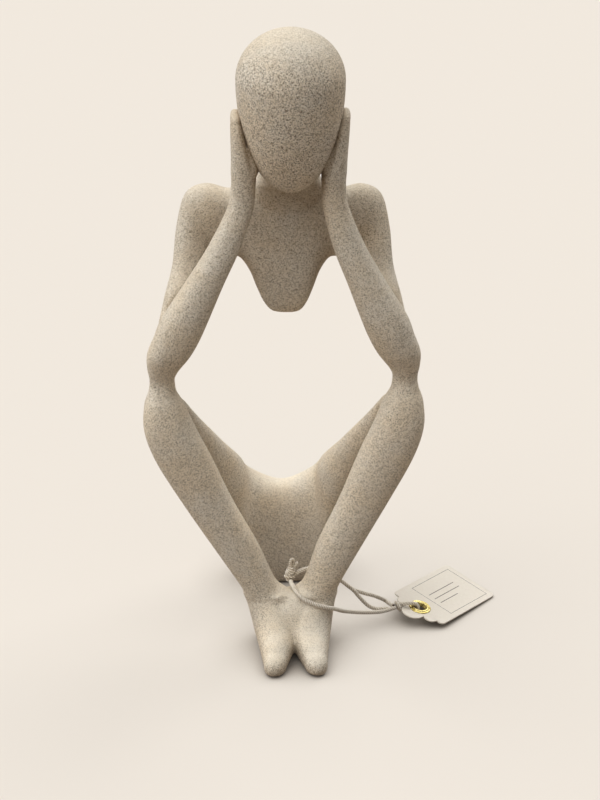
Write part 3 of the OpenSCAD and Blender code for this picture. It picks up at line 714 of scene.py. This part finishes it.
def cutFigure(s):
    points, faces = fuse(figureForms(), figureSet["grain"])
    print("figure fused:", len(points), "points")
    points = smoothed(points, faces, figureSet["passes"], np.ones(len(points)))
    points = evened(points, faces, eveningSet)
    rest, _ = cut(asSkin(points, faces), eggLevel(points) - s["head"])
    arms, legs = cut(rest, rest[0][:, 2] - figureSet["linkZ"])
    parts = {"head": asSkin(*tubeSkin(eggRings()))}
    x, y, z = arms[0].T
    inNeck = (np.abs(x - drift["head"]) < s["neckHalf"]) & (z > s["neckZ"])
    behindHands = np.where(inNeck, 1.0, y - s["handY"])
    back, fore = cut(arms, np.where(z < s["elbowZ"], y - figureSet["jointY"], behindHands))
    parts["left_forearm"], parts["right_forearm"] = cutAcross(fore, drift["head"])
    half, shift = torsoSet["width"] / 2, armDrift(np.array(s["chestZ"]))
    parts["left_upper_arm"], middle = cutAcross(back, half + shift)
    parts["torso"], parts["right_upper_arm"] = cutAcross(middle, shift - half)
    x, y, z = legs[0].T
    lap, shins = cut(legs, np.where(z > s["shinZ"], y - figureSet["jointY"], y - s["shinY"]))
    parts["left_shin"], parts["right_shin"] = cutAcross(shins, legSet["feetMiddle"])
    half, shift = seatSet["hipX"], seatDrift(seatSet["hipX"])
    parts["left_thigh"], middle = cutAcross(lap, half + shift)
    parts["seat"], parts["right_thigh"] = cutAcross(middle, shift - half)
    return parts


def castingPiece(node, skin):
    points, normals, faces, cap = skin
    first, *others = node.split("_")
    name = first + "".join(word.title() for word in others) + "Casting"
    piece = meshPiece(name, points, faces, "figure", "cast_resin", [node])
    flat = crossed(points, faces)
    flat /= np.maximum(np.linalg.norm(flat, axis=1, keepdims=True), 1e-12)  # some have no area
    corner = np.where(cap[:, None, None], flat[:, None], normals[faces])
    piece.data.normals_split_custom_set(corner.reshape(-1, 3).tolist())
    return piece


castingNodes = [
    "head", "torso", "left_upper_arm", "right_upper_arm", "left_forearm", "right_forearm",
    "left_shin", "right_shin", "left_thigh", "right_thigh", "seat",
]
skins = cutFigure(cutSet)
headCasting, *otherCastings = [castingPiece(node, skins[node]) for node in castingNodes]
print("castings cut:", len(castingNodes))

# Hang tag

tagSet = {
    "place": (57.3, -5, 5.3),  # the middle of the eyelet
    "turns": (("Z", 47.5), ("Y", 3.2), ("X", 11.6)),
    "length": 36,  # from the eyelet to the far end
    "width": 27,
    "end": 9.5,  # from the eyelet to the tip of the middle lobe
    "corner": 2,
    "lobe": 0.365,  # radius of the middle lobe over half the width
    "sideLobe": 0.23,  # the same for the two beside it
    "sideLobePlace": (-0.45, 1.4),  # in their radii, from the eyelet and in from the corner
    "thick": 0.6,
    "round": 0.08,
    "hole": 5.9,
    "page": 50,  # mm of card from 0 to 1 on the plane of the print
    "rows": 25,
    "points": 480,
}
tagPlace = Matrix.Translation(tagSet["place"])
for axis, degrees in tagSet["turns"]:
    tagPlace = tagPlace @ Matrix.Rotation(math.radians(degrees), 4, axis)


def onTag(points):
    m = np.array(tagPlace)
    return points @ m[:3, :3].T + m[:3, 3]


def cardOutline(s):
    # The far end has two rounded corners. The near end is the outer edge of five circles side by side
    half, corner = s["width"] / 2, s["corner"]
    lobe, sideLobe = half * s["lobe"], half * s["sideLobe"]
    q = np.radians(np.linspace(0, 90, 12))
    far = np.stack([s["length"] - corner + corner * np.cos(q), half - corner + corner * np.sin(q)], -1)
    y = half * np.sin(np.linspace(np.pi / 2, -np.pi / 2, 260))
    left = np.full(len(y), corner / 4)
    sideX, sideY = s["sideLobePlace"][0] * sideLobe, half - corner - s["sideLobePlace"][1] * sideLobe
    for cx, cy, r in (
        (corner / 4, half - corner, corner), (corner / 4, corner - half, corner), (lobe - s["end"], 0, lobe),
        (sideX, sideY, sideLobe), (sideX, -sideY, sideLobe),
    ):
        inside = np.abs(y - cy) < r
        left = np.where(inside, np.minimum(left, cx - np.sqrt(np.maximum(r * r - (y - cy) ** 2, 0))), left)
    left = np.where(np.abs(y) < half - 2.5 * corner, np.minimum(left, -sideLobe), left)
    near = np.stack([left, y], -1)
    loop = np.concatenate([far, near, far[::-1] * [1, -1], far[:1]])
    run = lengthAlong(loop)
    place = np.linspace(0, run[-1], s["points"], endpoint=False)
    return np.stack([np.interp(place, run, loop[:, k]) for k in range(2)], -1)


def makeCard(s):
    # Rings run from the hole to the edge on top and back below. Drawing the edge's outer rings in rounds it
    edge = cardOutline(s)
    angle = np.arctan2(edge[:, 1], edge[:, 0])
    hole = s["hole"] / 2 * np.stack([np.cos(angle), np.sin(angle)], -1)
    t, r = s["thick"] / 2, s["round"]
    flat = between(hole[None], edge[None], np.linspace(0, 1, s["rows"])[:, None, None])
    drawnIn = flat[-1:] - unit(edge)[None] * r
    rings = np.concatenate([flat[:-1], drawnIn, flat[-1:], flat[-1:], drawnIn, flat[-2::-1]])
    heights = np.repeat([t, t - r, r - t, -t], [s["rows"], 1, 1, s["rows"]])[:, None, None]
    points, faces = ringSkin(np.concatenate([rings, np.broadcast_to(heights, rings.shape[:2] + (1,))], -1))
    piece = meshPiece("tagCard", onTag(points), faces, "tag", "card", ["tag_card"])
    layer = piece.data.uv_layers.new(name="cardPlane")
    corner = np.empty(len(piece.data.loops), np.int32)
    piece.data.loops.foreach_get("vertex_index", corner)
    layer.data.foreach_set("uv", (points[corner, :2] / s["page"] + 0.5).astype(np.float32).ravel())
    return piece


# radius and height of the pressed sections, round which a smooth closed curve is drawn
eyeletProfile = [
    [2.5, -1], [2.52, 0.1], [2.6, 0.62], [2.85, 0.9], [3.2, 0.99], [3.5, 0.9], [3.68, 0.68], [3.82, 0.62],
    [4.05, 0.72], [4.35, 0.72], [4.6, 0.55], [4.69, 0.4], [4.62, 0.31], [3.6, 0.31], [2.95, 0.31],
    [2.85, 0.2], [2.85, -0.6], [2.9, -0.68], [3.3, -0.7], [3.48, -0.82], [3.42, -0.97], [3.1, -1.0],
]
pressedSides = 96
washerProfile = [[2.98, -0.63], [3.1, -0.33], [4.5, -0.33], [4.68, -0.45], [4.6, -0.62], [3.1, -0.64]]


def pressedRing(name, profile, steps, node):
    points = np.array(profile, float)
    wrapped = np.concatenate([points[-1:], points, points[:2]])
    curve = through(wrapped, np.linspace(1, len(points) + 1, steps, endpoint=False))
    points, faces = ringSkin(turnedRings(curve, pressedSides))
    return meshPiece(name, onTag(points), faces, "tag", "brass", [node])


tagCard = makeCard(tagSet)
eyelet = pressedRing("eyeletBrass", eyeletProfile, 120, "eyelet")
washer = pressedRing("eyeletWasher", washerProfile, 48, "eyelet_washer")
print("tag made")

# Tag loop, hitch, knot and tails

loopRoute = [  # on the card, from the hitch through the eyelet and back below
    [-6.9, 6.6, 0.6], [-5.6, 5, 1.3], [-4.4, 3.6, 1.95], [-3, 2.4, 2.1], [-1.6, 1.4, 1.75],
    [-0.8, 0.7, 0.6], [-0.7, 0.6, -0.7], [-1.3, 1.2, -1.9], [-2.6, 2.4, -2.2], [-4, 3.7, -2],
    [-5.4, 5.1, -1.5], [-6.9, 6.6, -1],
]
loopBeside = np.array(tagPlace)[:3, :3] @ np.array([0.7, 0.74, 0])  # across the card, over the loop
hitchSet = {
    "joint": (46.4, -6.3, 6.8),  # the hinge of the tag
    "heading": 18,  # degrees from +X
    "ahead": 1.8,  # from the joint to the bight's middle
    "radius": 1.8,
    "lean": 0.7,  # its top leans back by this much
    "length": 11.4,
    "diameter": 1.5,
    "steps": 60,
}
knotSet = {
    "middle": (2.9, -7.1, 24.3),
    "diameter": 1.75,
    "steps": 420,
    "start": 0.6,  # radians at the first wrap
    "coreSteps": 40,
    "coreSides": 32,
    "turns": [  # height, radius, lean and sideways shift of the wraps, one row for each turn
        [-2.7, 0.5, 0, 0], [-1.75, 1.5, 0.5, -0.25], [-0.35, 1.45, -0.55, 0.05],
        [1.05, 1.25, 0.55, 0.1], [2.3, 0.75, 0.2, 0.2], [2.6, 0.2, 0, 0.3],
    ],
    "core": [[pole, -2.6], [0.6, -2.4], [1.2, -1.6], [1.35, -0.4], [1.15, 0.8], [0.7, 2.0], [pole, 2.6]],
}
tailSet = {
    "diameter": 1.45,
    "blunt": 0.5,
    # the first tail is folded over on itself, the second stands by itself
    "routes": [
        [[3.2, -7.2, 26.2], [2.9, -7.4, 28.0], [2.9, -7.6, 29.6], [3.2, -7.8, 30.9], [3.9, -7.6, 31.0],
         [4.2, -7.0, 30.0], [3.9, -6.9, 28.3], [3.5, -7.0, 26.6]],
        [[3.9, -7, 26.4], [4.8, -7.2, 27.9], [5.5, -7.5, 29.0], [5.7, -7.7, 29.9]],
    ],
}


def makeHitch(s):
    # A ring across the heading; at the angle a it leans back by the lean times the sine of a
    heading = math.radians(s["heading"])
    angle = around(s["steps"])[:, None]
    ahead = np.array([math.cos(heading), math.sin(heading), 0])
    beside = np.array([-math.sin(heading), math.cos(heading), 0])
    across = s["radius"] * (np.cos(angle) * beside + np.sin(angle) * np.array([0, 0, 1.0]))
    path = np.array(s["joint"]) + ahead * (s["ahead"] - s["lean"] * np.sin(angle)) + across
    along = np.linspace(0, s["length"], s["steps"] + 1)
    rings, straight = cordRings(np.concatenate([path, path[:1]]), along, ahead, s["diameter"])
    points, faces = ringSkin(rings[:-1])
    bight = meshPiece("hitchBight", points, faces, "tag", "cotton_cord", ["hitch"])
    addCordSpace(bight, straight[:-1], ends=False)
    return bight


def makeKnot(s):
    # The cord winds round an upright axis. At the angle a its place is the radius times cosine and sine of
    # a, and the height plus the lean times the cosine, so that neighbouring turns lie across one another
    u = np.linspace(0, len(s["turns"]) - 1, s["steps"])
    height, radius, lean, shift = through(np.array(s["turns"], float), u).T
    a = 2 * np.pi * u + s["start"]
    path = np.stack([shift + radius * np.cos(a), radius * np.sin(a), height + lean * np.cos(a)], -1)
    rings, straight = cordRings(path + np.array(s["middle"]), lengthAlong(path), (0, 0, 1), s["diameter"])
    wraps = meshPiece("cordKnot", *tubeSkin(rings), "figure", "cotton_cord", ["knot"])
    addCordSpace(wraps, straight)
    core = through(np.array(s["core"]), np.linspace(0, len(s["core"]) - 1, s["coreSteps"]))
    points, faces = tubeSkin(turnedRings(core, s["coreSides"]))
    return wraps, meshPiece("knotInside", points + np.array(s["middle"]), faces, "figure", "cotton_cord", [])


tagLoop, _, _ = makeCord("tagLoop", onTag(np.array(loopRoute)), loopBeside, "tag", ["tag_loop"])
hitch = makeHitch(hitchSet)
knot, knotInside = makeKnot(knotSet)
tails = []
for name, route, nodes in zip(("cordTailA", "cordTailB"), tailSet["routes"], (["cord_tails"], [])):
    made = makeCord(name, route, (0, 1, 0), "figure", nodes, tailSet["diameter"], tailSet["blunt"])
    tails.append(made[0])
print("knot tied")

# Felt pads

padSet = {
    "seat": 18,  # diameters
    "foot": 8,
    "edge": 0.2,
    "flat": 0.6,  # share of the radius
    "footShare": 0.414,  # way from the shin to the toes
    "steps": 40,
    "sides": 64,
}


def feltDisc(name, x, y, diameter, nodes):
    # The profile runs from the middle of the underside out, up the soft edge and back
    r, t, e = diameter / 2, figureSet["padZ"], padSet["edge"]
    profile = [
        [pole, 0.0], [r * padSet["flat"], 0], [r - e, e / 10], [r, e * 1.25], [r, e * 3],
        [r - e * 0.75, t], [r * padSet["flat"], t], [pole, t],
    ]
    curve = through(np.array(profile), np.linspace(0, len(profile) - 1, padSet["steps"]))
    points, faces = tubeSkin(turnedRings(curve, padSet["sides"]))
    return meshPiece(name, points + np.array([x, y, 0]), faces, "figure", "felt", nodes)


footY = between(figureSet["limbY"], legSet["toeY"], padSet["footShare"])
footX = legSet["feetApart"] / 2
pads = [
    feltDisc("seatPad", drift["seat"], seatSet["y"], padSet["seat"], ["seat_pad"]),
    feltDisc("leftFootPad", legSet["feetMiddle"] + footX, footY, padSet["foot"], ["foot_pads"]),
    feltDisc("rightFootPad", legSet["feetMiddle"] - footX, footY, padSet["foot"], []),
]
print("pads made")

# Knee pins, a little shorter than in the CAD, since the rubbed skin is thinner there

kneePinSet = {"front": -21.5, "back": -9.5, "diameter": 3, "chamfer": 0.3, "sides": 32}


def kneePin(name, side, s, nodes):
    r, c = s["diameter"] / 2, s["chamfer"]
    first, last = s["front"], s["back"]
    profile = [[pole, first], [r - c, first], [r, first + c], [r, last - c], [r - c, last], [pole, last]]
    points, faces = tubeSkin(turnedRings(profile, s["sides"])[..., [0, 2, 1]])  # laid along y
    place = np.array([side * legSet["kneeX"], 0, legSet["kneeZ"]])
    return meshPiece(name, points + place, faces, "figure", "steel", nodes)


kneePins = [kneePin("leftKneePin", 1, kneePinSet, ["knee_pins"]), kneePin("rightKneePin", -1, kneePinSet, [])]
print("pins made")

# Finishes; lengths are in metres, and shares and places on a ramp from 0 to 1

mixed = {"data_type": "RGBA"}
multiplied = {"data_type": "RGBA", "blend_type": "MULTIPLY"}


def linear(hexColour):
    share = [int(hexColour[k : k + 2], 16) / 255 for k in (1, 3, 5)]
    return [c / 12.92 if c <= 0.04045 else ((c + 0.055) / 1.055) ** 2.4 for c in share] + [1]


def newMaterial(name):
    material = bpy.data.materials.new(name)
    material.use_nodes = True
    material.node_tree.nodes.clear()
    return material, partial(addNode, material)


def addNode(material, kind, settings=None, **inputs):
    # Adds a shader node. settings are the node's own; inputs are values, sockets to link from, or nodes
    # whose first socket in use is linked. An input whose name holds spaces is written with _ for each, and
    # a number after in_ is the input's place
    tree = material.node_tree
    node = tree.nodes.new("ShaderNode" + kind)
    for key, value in (settings or {}).items():
        setattr(node, key, value)
    for key, value in inputs.items():
        socket = node.inputs[int(key[3:]) if key.startswith("in_") else key.replace("_", " ")]
        if isinstance(value, bpy.types.Node):
            value = next(out for out in value.outputs if out.enabled)
        if isinstance(value, bpy.types.NodeSocket):
            tree.links.new(value, socket)
        else:
            socket.default_value = value
    return node


def span(*values):
    # The inputs of a map range: from, to, and the value at each
    return dict(zip(("in_1", "in_2", "in_3", "in_4"), values))


def ramp(add, value, stops):
    node = add("ValToRGB", Fac=value)
    band = node.color_ramp
    band.elements[0].position, band.elements[0].color = stops[0][0], linear(stops[0][1])
    band.elements[1].position, band.elements[1].color = stops[-1][0], linear(stops[-1][1])
    for place, colour in stops[1:-1]:
        band.elements.new(place).color = linear(colour)
    return node


def surface(material, bump=None, **inputs):
    # Ends a material with its shader; bump is a strength, a depth and the height that it follows
    if bump:
        strength, depth, height = bump
        inputs["Normal"] = addNode(material, "Bump", Strength=strength, Distance=depth, Height=height)
    addNode(material, "OutputMaterial", Surface=addNode(material, "BsdfPrincipled", **inputs))
    return material


resinSet = {
    "grain": 0.00033,
    "grains": [(0.0, "#6b5f4e"), (0.32, "#d0c8bb"), (0.62, "#f2eee7"), (1.0, "#ffffff")],
    "contrast": 0.68,  # of the grains
    "worn": 0.4,  # share of the grain's contrast that is left on tops, where painted highlight stands in for light
    "tops": (0.25, 0.9),  # from sides to tops, by the height of the normal
    "paintedTopLight": [(0.0, "#f8f4ec"), (0.35, "#f1ebe1"), (1.0, "#d9d3c9")],  # painted highlight on tops, from the feet up: palest low down
    "paintedTopLightHeights": (0.04, 0.17),
    "patch": 0.018,  # size of the warmer and greyer patches
    "patches": [(0.36, "#faeeda"), (0.62, "#f8f1e4")],
    "hollow": 0.006,  # how near the walls of a hollow stand where painted shade darkens it
    "wash": [(0.1, "#a89a89"), (0.5, "#e6e0d7"), (0.85, "#ffffff")],
    "lee": 0.035,  # the same for the painted shade on broad parts that lie behind others
    "paintedBehindShade": [(0.35, "#b5a592"), (0.85, "#ffffff")],
    # spans below say from, to, and the value at each
    "shadeByHeight": (0.022, 0.05, 0.3, 0.85),  # the painted shade's strength by height
    "shadeBySlope": (0.1, 0.6, 1.0, 0.1),  # and by the height of the normal
    "pitSpacing": 0.004,
    "pitEdge": (0.05, 0.085, 0.6, 0),  # how dark, by the distance from its middle over the spacing
    "pits": 0.62,  # share of the places for a pit that have none
    "pit": "#6a5d4c",
    "clump": 0.0009,  # grains stand up and sink in together over about this far
    "relief": 0.0004,
}
# the head takes hardly any painted shade from parts near it, and more grain
headResinSet = {**resinSet, "lee": 0.002, "contrast": 1.0}


def sandResin(s):
    # Sand-filled resin, cast: matt and pale, with fine dark and light grains, fewer and paler on tops as a
    # painted highlight, a few open pits, and painted shade in the hollows and on parts behind others
    material, add = newMaterial("sandFilledResinCast")
    place = add("TexCoord").outputs["Object"]
    height = add("SeparateXYZ", Vector=place).outputs["Z"]
    up = add("SeparateXYZ", Vector=add("NewGeometry").outputs["Normal"]).outputs["Z"]

    grains = add("TexVoronoi", {"feature": "F1"}, Vector=place, Scale=1 / s["grain"])
    grainColour = ramp(add, add("SeparateColor", Color=grains.outputs["Color"]), s["grains"])
    most, least = s["contrast"], s["contrast"] * s["worn"]
    # painted highlight: upward faces keep less grain and take a pale colour, as lit tops look
    show = add("MapRange", Value=up, **span(*s["tops"], most, least))
    paintedTopLight = ramp(add, add("MapRange", Value=height, **span(*s["paintedTopLightHeights"])), s["paintedTopLight"])
    speckled = add("Mix", mixed, in_0=show, in_6=paintedTopLight, in_7=grainColour)
    patches = add("TexNoise", Vector=place, Scale=1 / s["patch"], Detail=3.0, Roughness=0.5)
    sand = add("Mix", multiplied, in_0=1.0, in_6=ramp(add, patches, s["patches"]), in_7=speckled)

    # painted shade in the hollows and creases, where the walls stand close
    hollow = add("AmbientOcclusion", {"samples": 8}, Distance=s["hollow"])
    wash = ramp(add, hollow.outputs["AO"], s["wash"])
    # painted shade on broad parts that lie behind others
    lee = add("AmbientOcclusion", {"samples": 8}, Distance=s["lee"])
    paintedBehindShade = ramp(add, lee.outputs["AO"], s["paintedBehindShade"])
    # both painted shades, weaker low down and on upward faces
    both = add("Mix", multiplied, in_0=1.0, in_6=wash, in_7=paintedBehindShade)
    above = add("MapRange", Value=height, **span(*s["shadeByHeight"]))
    sideways = add("MapRange", Value=up, **span(*s["shadeBySlope"]))
    shadeShare = add("Math", {"operation": "MULTIPLY"}, in_0=above, in_1=sideways)
    shadedSand = add("Mix", multiplied, in_0=shadeShare, in_6=sand, in_7=both)

    cells = add("TexVoronoi", {"feature": "F1"}, Vector=place, Scale=1 / s["pitSpacing"])
    chance = add("SeparateColor", Color=cells.outputs["Color"]).outputs["Green"]
    near = add("MapRange", Value=cells.outputs["Distance"], **span(*s["pitEdge"]))
    some = add("Math", {"operation": "GREATER_THAN"}, in_0=chance, in_1=s["pits"])
    pit = add("Math", {"operation": "MULTIPLY"}, in_0=near, in_1=some)
    colour = add("Mix", mixed, in_0=pit, in_6=shadedSand, in_7=linear(s["pit"]))

    clumps = add("TexNoise", Vector=place, Scale=1 / s["clump"], Detail=4.0, Roughness=0.65)
    relief = add("Math", {"operation": "SUBTRACT"}, in_0=clumps, in_1=pit)
    return surface(material, (1.0, s["relief"], relief), Base_Color=colour, Roughness=0.75, IOR=1.5)


twineSet = {
    "fibres": (6, 6, 1.2),  # to the mm, across and along the cord
    "pale": [(0.25, "#d6ccba"), (0.5, "#f0e8da"), (0.75, "#fcf7ee")],
    "grooveShade": [(0.42, "#6f6250"), (0.62, "#dcd2c1"), (0.75, "#ffffff")],  # painted shade in the grooves between plies, by mm from the cord's middle
    # painted shade where the cord's turns and plies close in, within the crease distance
    "crease": 0.0014,
    "soil": [(0.2, "#6b5e4c"), (0.5, "#dcd3c3"), (0.75, "#ffffff")],
    "fuzz": 0.0002,
}


def cottonTwine(s):
    # Twisted cotton: off-white and dull, streaked along its fibres, with painted shade between the plies and
    # turns
    material, add = newMaterial("twistedCottonTwine")
    own = add("Attribute", {"attribute_name": "cordSpace"}).outputs["Vector"]
    stretched = add("Mapping", {"vector_type": "POINT"}, Vector=own, Scale=s["fibres"])
    fibres = add("TexNoise", Vector=stretched, Scale=1.0, Detail=3.0, Roughness=0.6)
    across = add("VectorMath", {"operation": "MULTIPLY"}, in_0=own, in_1=(1, 1, 0))
    outFrom = add("VectorMath", {"operation": "LENGTH"}, in_0=across).outputs["Value"]
    pale, grooveShade = ramp(add, fibres, s["pale"]), ramp(add, outFrom, s["grooveShade"])
    plies = add("Mix", multiplied, in_0=1.0, in_6=pale, in_7=grooveShade)
    # painted shade in the creases
    crease = add("AmbientOcclusion", {"samples": 8}, Distance=s["crease"]).outputs["AO"]
    colour = add("Mix", multiplied, in_0=1.0, in_6=plies, in_7=ramp(add, crease, s["soil"]))
    return surface(material, (0.5, s["fuzz"], fibres), Base_Color=colour, Roughness=0.9)


cardFinishSet = {
    "pulp": 0.0012,
    "depth": 0.0001,
    "plain": [(0.3, "#e5dccd"), (0.7, "#ebe3d5")],
    "ink": "#5b4c42",
    # a plain stand-in for a shop's print: three ruled lines and a border, each from x to x and y to y in mm
    "lines": [
        (10.5, 27.5, 3.0, 3.35), (10.5, 27.5, -0.2, 0.15), (10.5, 22.5, -3.4, -3.05),
        (8, 33.4, 10.6, 10.8), (8, 33.4, -10.8, -10.6), (33.2, 33.4, -10.8, 10.8), (8, 8.2, -10.8, 10.8),
    ],
}


def cardStock(s):
    # Uncoated card: cream and dull with a faint mottle of pulp, and fine brown printed lines
    material, add = newMaterial("uncoatedCardStock")
    place = add("TexCoord").outputs["Object"]
    pulp = add("TexNoise", Vector=place, Scale=1 / s["pulp"], Detail=5.0, Roughness=0.65)
    onCard = add("SeparateXYZ", Vector=add("UVMap", {"uv_map": "cardPlane"}))

    def maths(operation, a, b, c=0.0):
        return add("Math", {"operation": operation}, in_0=a, in_1=b, in_2=c)

    def within(axis, start, end):
        # 1 where the place on the card is from start to end, in mm
        half = (end - start) / 2 / tagSet["page"]
        return maths("COMPARE", onCard.outputs[axis], start / tagSet["page"] + half + 0.5, half)

    inked = 0.0
    for left, right, low, high in s["lines"]:
        inked = maths("MAXIMUM", inked, maths("MULTIPLY", within("X", left, right), within("Y", low, high)))
    colour = add("Mix", mixed, in_0=inked, in_6=ramp(add, pulp, s["plain"]), in_7=linear(s["ink"]))
    return surface(material, (0.15, s["depth"], pulp), Base_Color=colour, Roughness=0.7)


# colours and roughness run from the first to the last with the wear
brassSet = {
    "wear": 0.0015, "detail": 4.0, "rough": (0.16, 0.34),
    "colours": [(0.3, "#b5a25c"), (0.7, "#d6c98c")],
}
steelSet = {
    "wear": 0.0004, "detail": 2.0, "rough": (0.28, 0.42),
    "colours": [(0.3, "#a9acae"), (0.7, "#c6c9ca")],
}


def wornMetal(name, s):
    # Pressed brass gives a bright greenish gold that mirrors the room, drawn steel a duller grey; both are
    # a little uneven in colour and shine
    material, add = newMaterial(name)
    place = add("TexCoord").outputs["Object"]
    wear = add("TexNoise", Vector=place, Scale=1 / s["wear"], Detail=s["detail"])
    rough = add("MapRange", Value=wear, **span(0, 1, *s["rough"]))
    return surface(material, Base_Color=ramp(add, wear, s["colours"]), Roughness=rough, Metallic=1)


feltSet = {"fuzz": 0.0004, "colours": [(0.3, "#5d574e"), (0.7, "#857d70")], "depth": 0.0002}


def woolFelt(s):
    # Pressed wool felt: dull brown-grey with a tangled, faintly raised nap
    material, add = newMaterial("pressedWoolFelt")
    place, size = add("TexCoord").outputs["Object"], 1 / s["fuzz"]
    fuzz = add("TexNoise", Vector=place, Scale=size, Detail=6.0, Roughness=0.7, Distortion=1.5)
    colour = ramp(add, fuzz, s["colours"])
    return surface(material, (0.6, s["depth"], fuzz), Base_Color=colour, Roughness=0.95)


def dress(pieces, material):
    for piece in pieces:
        piece.data.materials.clear()
        piece.data.materials.append(material)


def dressNode(node, material):
    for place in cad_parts[node].material_slots:
        place.material = material


dress([headCasting], sandResin(headResinSet))
dress(otherCastings, sandResin(resinSet))
dress([cordFront, cordRear, cordSpare, tagLoop, hitch, knot, knotInside] + tails, cottonTwine(twineSet))
dress([tagCard], cardStock(cardFinishSet))
dress([eyelet, washer], wornMetal("pressedBrassSheet", brassSet))
dress(pads, woolFelt(feltSet))
steel = wornMetal("drawnSteelRod", steelSet)
dress(kneePins, steel)
for node in ("neck_pin", "shoulder_pins", "elbow_pins", "link_pins", "hip_pins", "cheek_pins", "foot_pin"):
    dressNode(node, steel)
print("finishes set")

# Floor and light

stageSet = {
    "half": 3000,  # mm, half the floor's side
    "floor": "#f0e8dd",
    "floorLit": "#dad2c8",  # the same under the lamps, where it takes their shadows
    "litShare": 0.4,
    "bounce": "#85796e",  # what the figure gets back from the floor
    "reach": 0.03,  # metres within which a painted shadow darkens the floor round the figure
    "paintedTouchShadow": [(0.0, "#14110e"), (0.3, "#4a433c"), (0.52, "#a89f94"), (0.74, "#dcd4c9")],
    "open": 0.93,
    "sky": 0.02,
    "skySeen": 0.35,  # what the brass mirrors
}
suns = {
    "leftKey": {"energy": 2.78, "angle": 80, "source": (-0.84, 0.08, 1.0)},
    "backRight": {"energy": 1.6, "angle": 45, "source": (0.7, 0.7, 1.0)},
    "softFront": {"energy": 0.9, "angle": 70, "source": (0.0, -0.75, 1.0)},
}


def seenRays(add):
    # 1 for what the camera, a mirror or a clear piece sees, 0 for light on its way to a matt surface
    path = add("LightPath")
    seen = path.outputs["Is Camera Ray"]
    for kind in ("Is Glossy Ray", "Is Transmission Ray"):
        seen = add("Math", {"operation": "MAXIMUM"}, in_0=seen, in_1=path.outputs[kind])
    return seen


def paperFloor(s):
    # Matt paper: flat and pale, with the lamps' soft shadows on it and a painted shadow where things touch it
    # or stand close
    material, add = newMaterial("mattPaper")
    colour = linear(s["bounce"])
    shader = add("BsdfPrincipled", Base_Color=colour, Roughness=0.9, Specular_IOR_Level=0.0)
    # painted shadow: the glowing floor darkens where the figure stands within the reach
    openness = add("AmbientOcclusion", {"samples": 16}, Distance=s["reach"]).outputs["AO"]
    shade = ramp(add, openness, s["paintedTouchShadow"] + [(s["open"], s["floor"])])
    flat = add("Emission", Color=shade, Strength=1.0)
    lit = add("BsdfDiffuse", Color=linear(s["floorLit"]))
    seen = add("MixShader", in_0=s["litShare"], in_1=flat, in_2=lit)
    both = add("MixShader", in_0=seenRays(add), in_1=shader, in_2=seen)
    add("OutputMaterial", Surface=both)
    return material


def makeSun(name, s):
    lamp = bpy.data.lights.new(name, "SUN")
    lamp.energy = s["energy"]
    lamp.angle = math.radians(s["angle"])
    sun = bpy.data.objects.new(name, lamp)
    sun.rotation_euler = Vector(s["source"]).to_track_quat("Z", "Y").to_euler()
    bpy.context.scene.collection.objects.link(sun)


def makeWorld(s):
    # Faint for the figure, brighter in mirrors, and as bright as the floor past the floor's end
    world = bpy.data.worlds.new("studio")
    bpy.context.scene.world = world
    world.use_nodes = True
    add = partial(addNode, world)
    sky = world.node_tree.nodes["Background"]
    sky.inputs["Color"].default_value = linear(s["floor"])
    mirrored = add("MapRange", Value=seenRays(add), in_3=s["sky"], in_4=s["skySeen"])
    behind = add("LightPath").outputs["Is Camera Ray"]
    strength = add("Math", {"operation": "MAXIMUM"}, in_0=mirrored, in_1=behind)
    world.node_tree.links.new(strength.outputs[0], sky.inputs["Strength"])


corners = np.array([[-1, -1, 0], [1, -1, 0], [1, 1, 0], [-1, 1, 0]]) * stageSet["half"]
floor = meshPiece("floor", corners, np.array([[0, 1, 2, 3]]))
dress([floor], paperFloor(stageSet))
makeWorld(stageSet)
for name, s in suns.items():
    makeSun(name, s)
bpy.context.scene.view_settings.view_transform = "Standard"
print("light set")
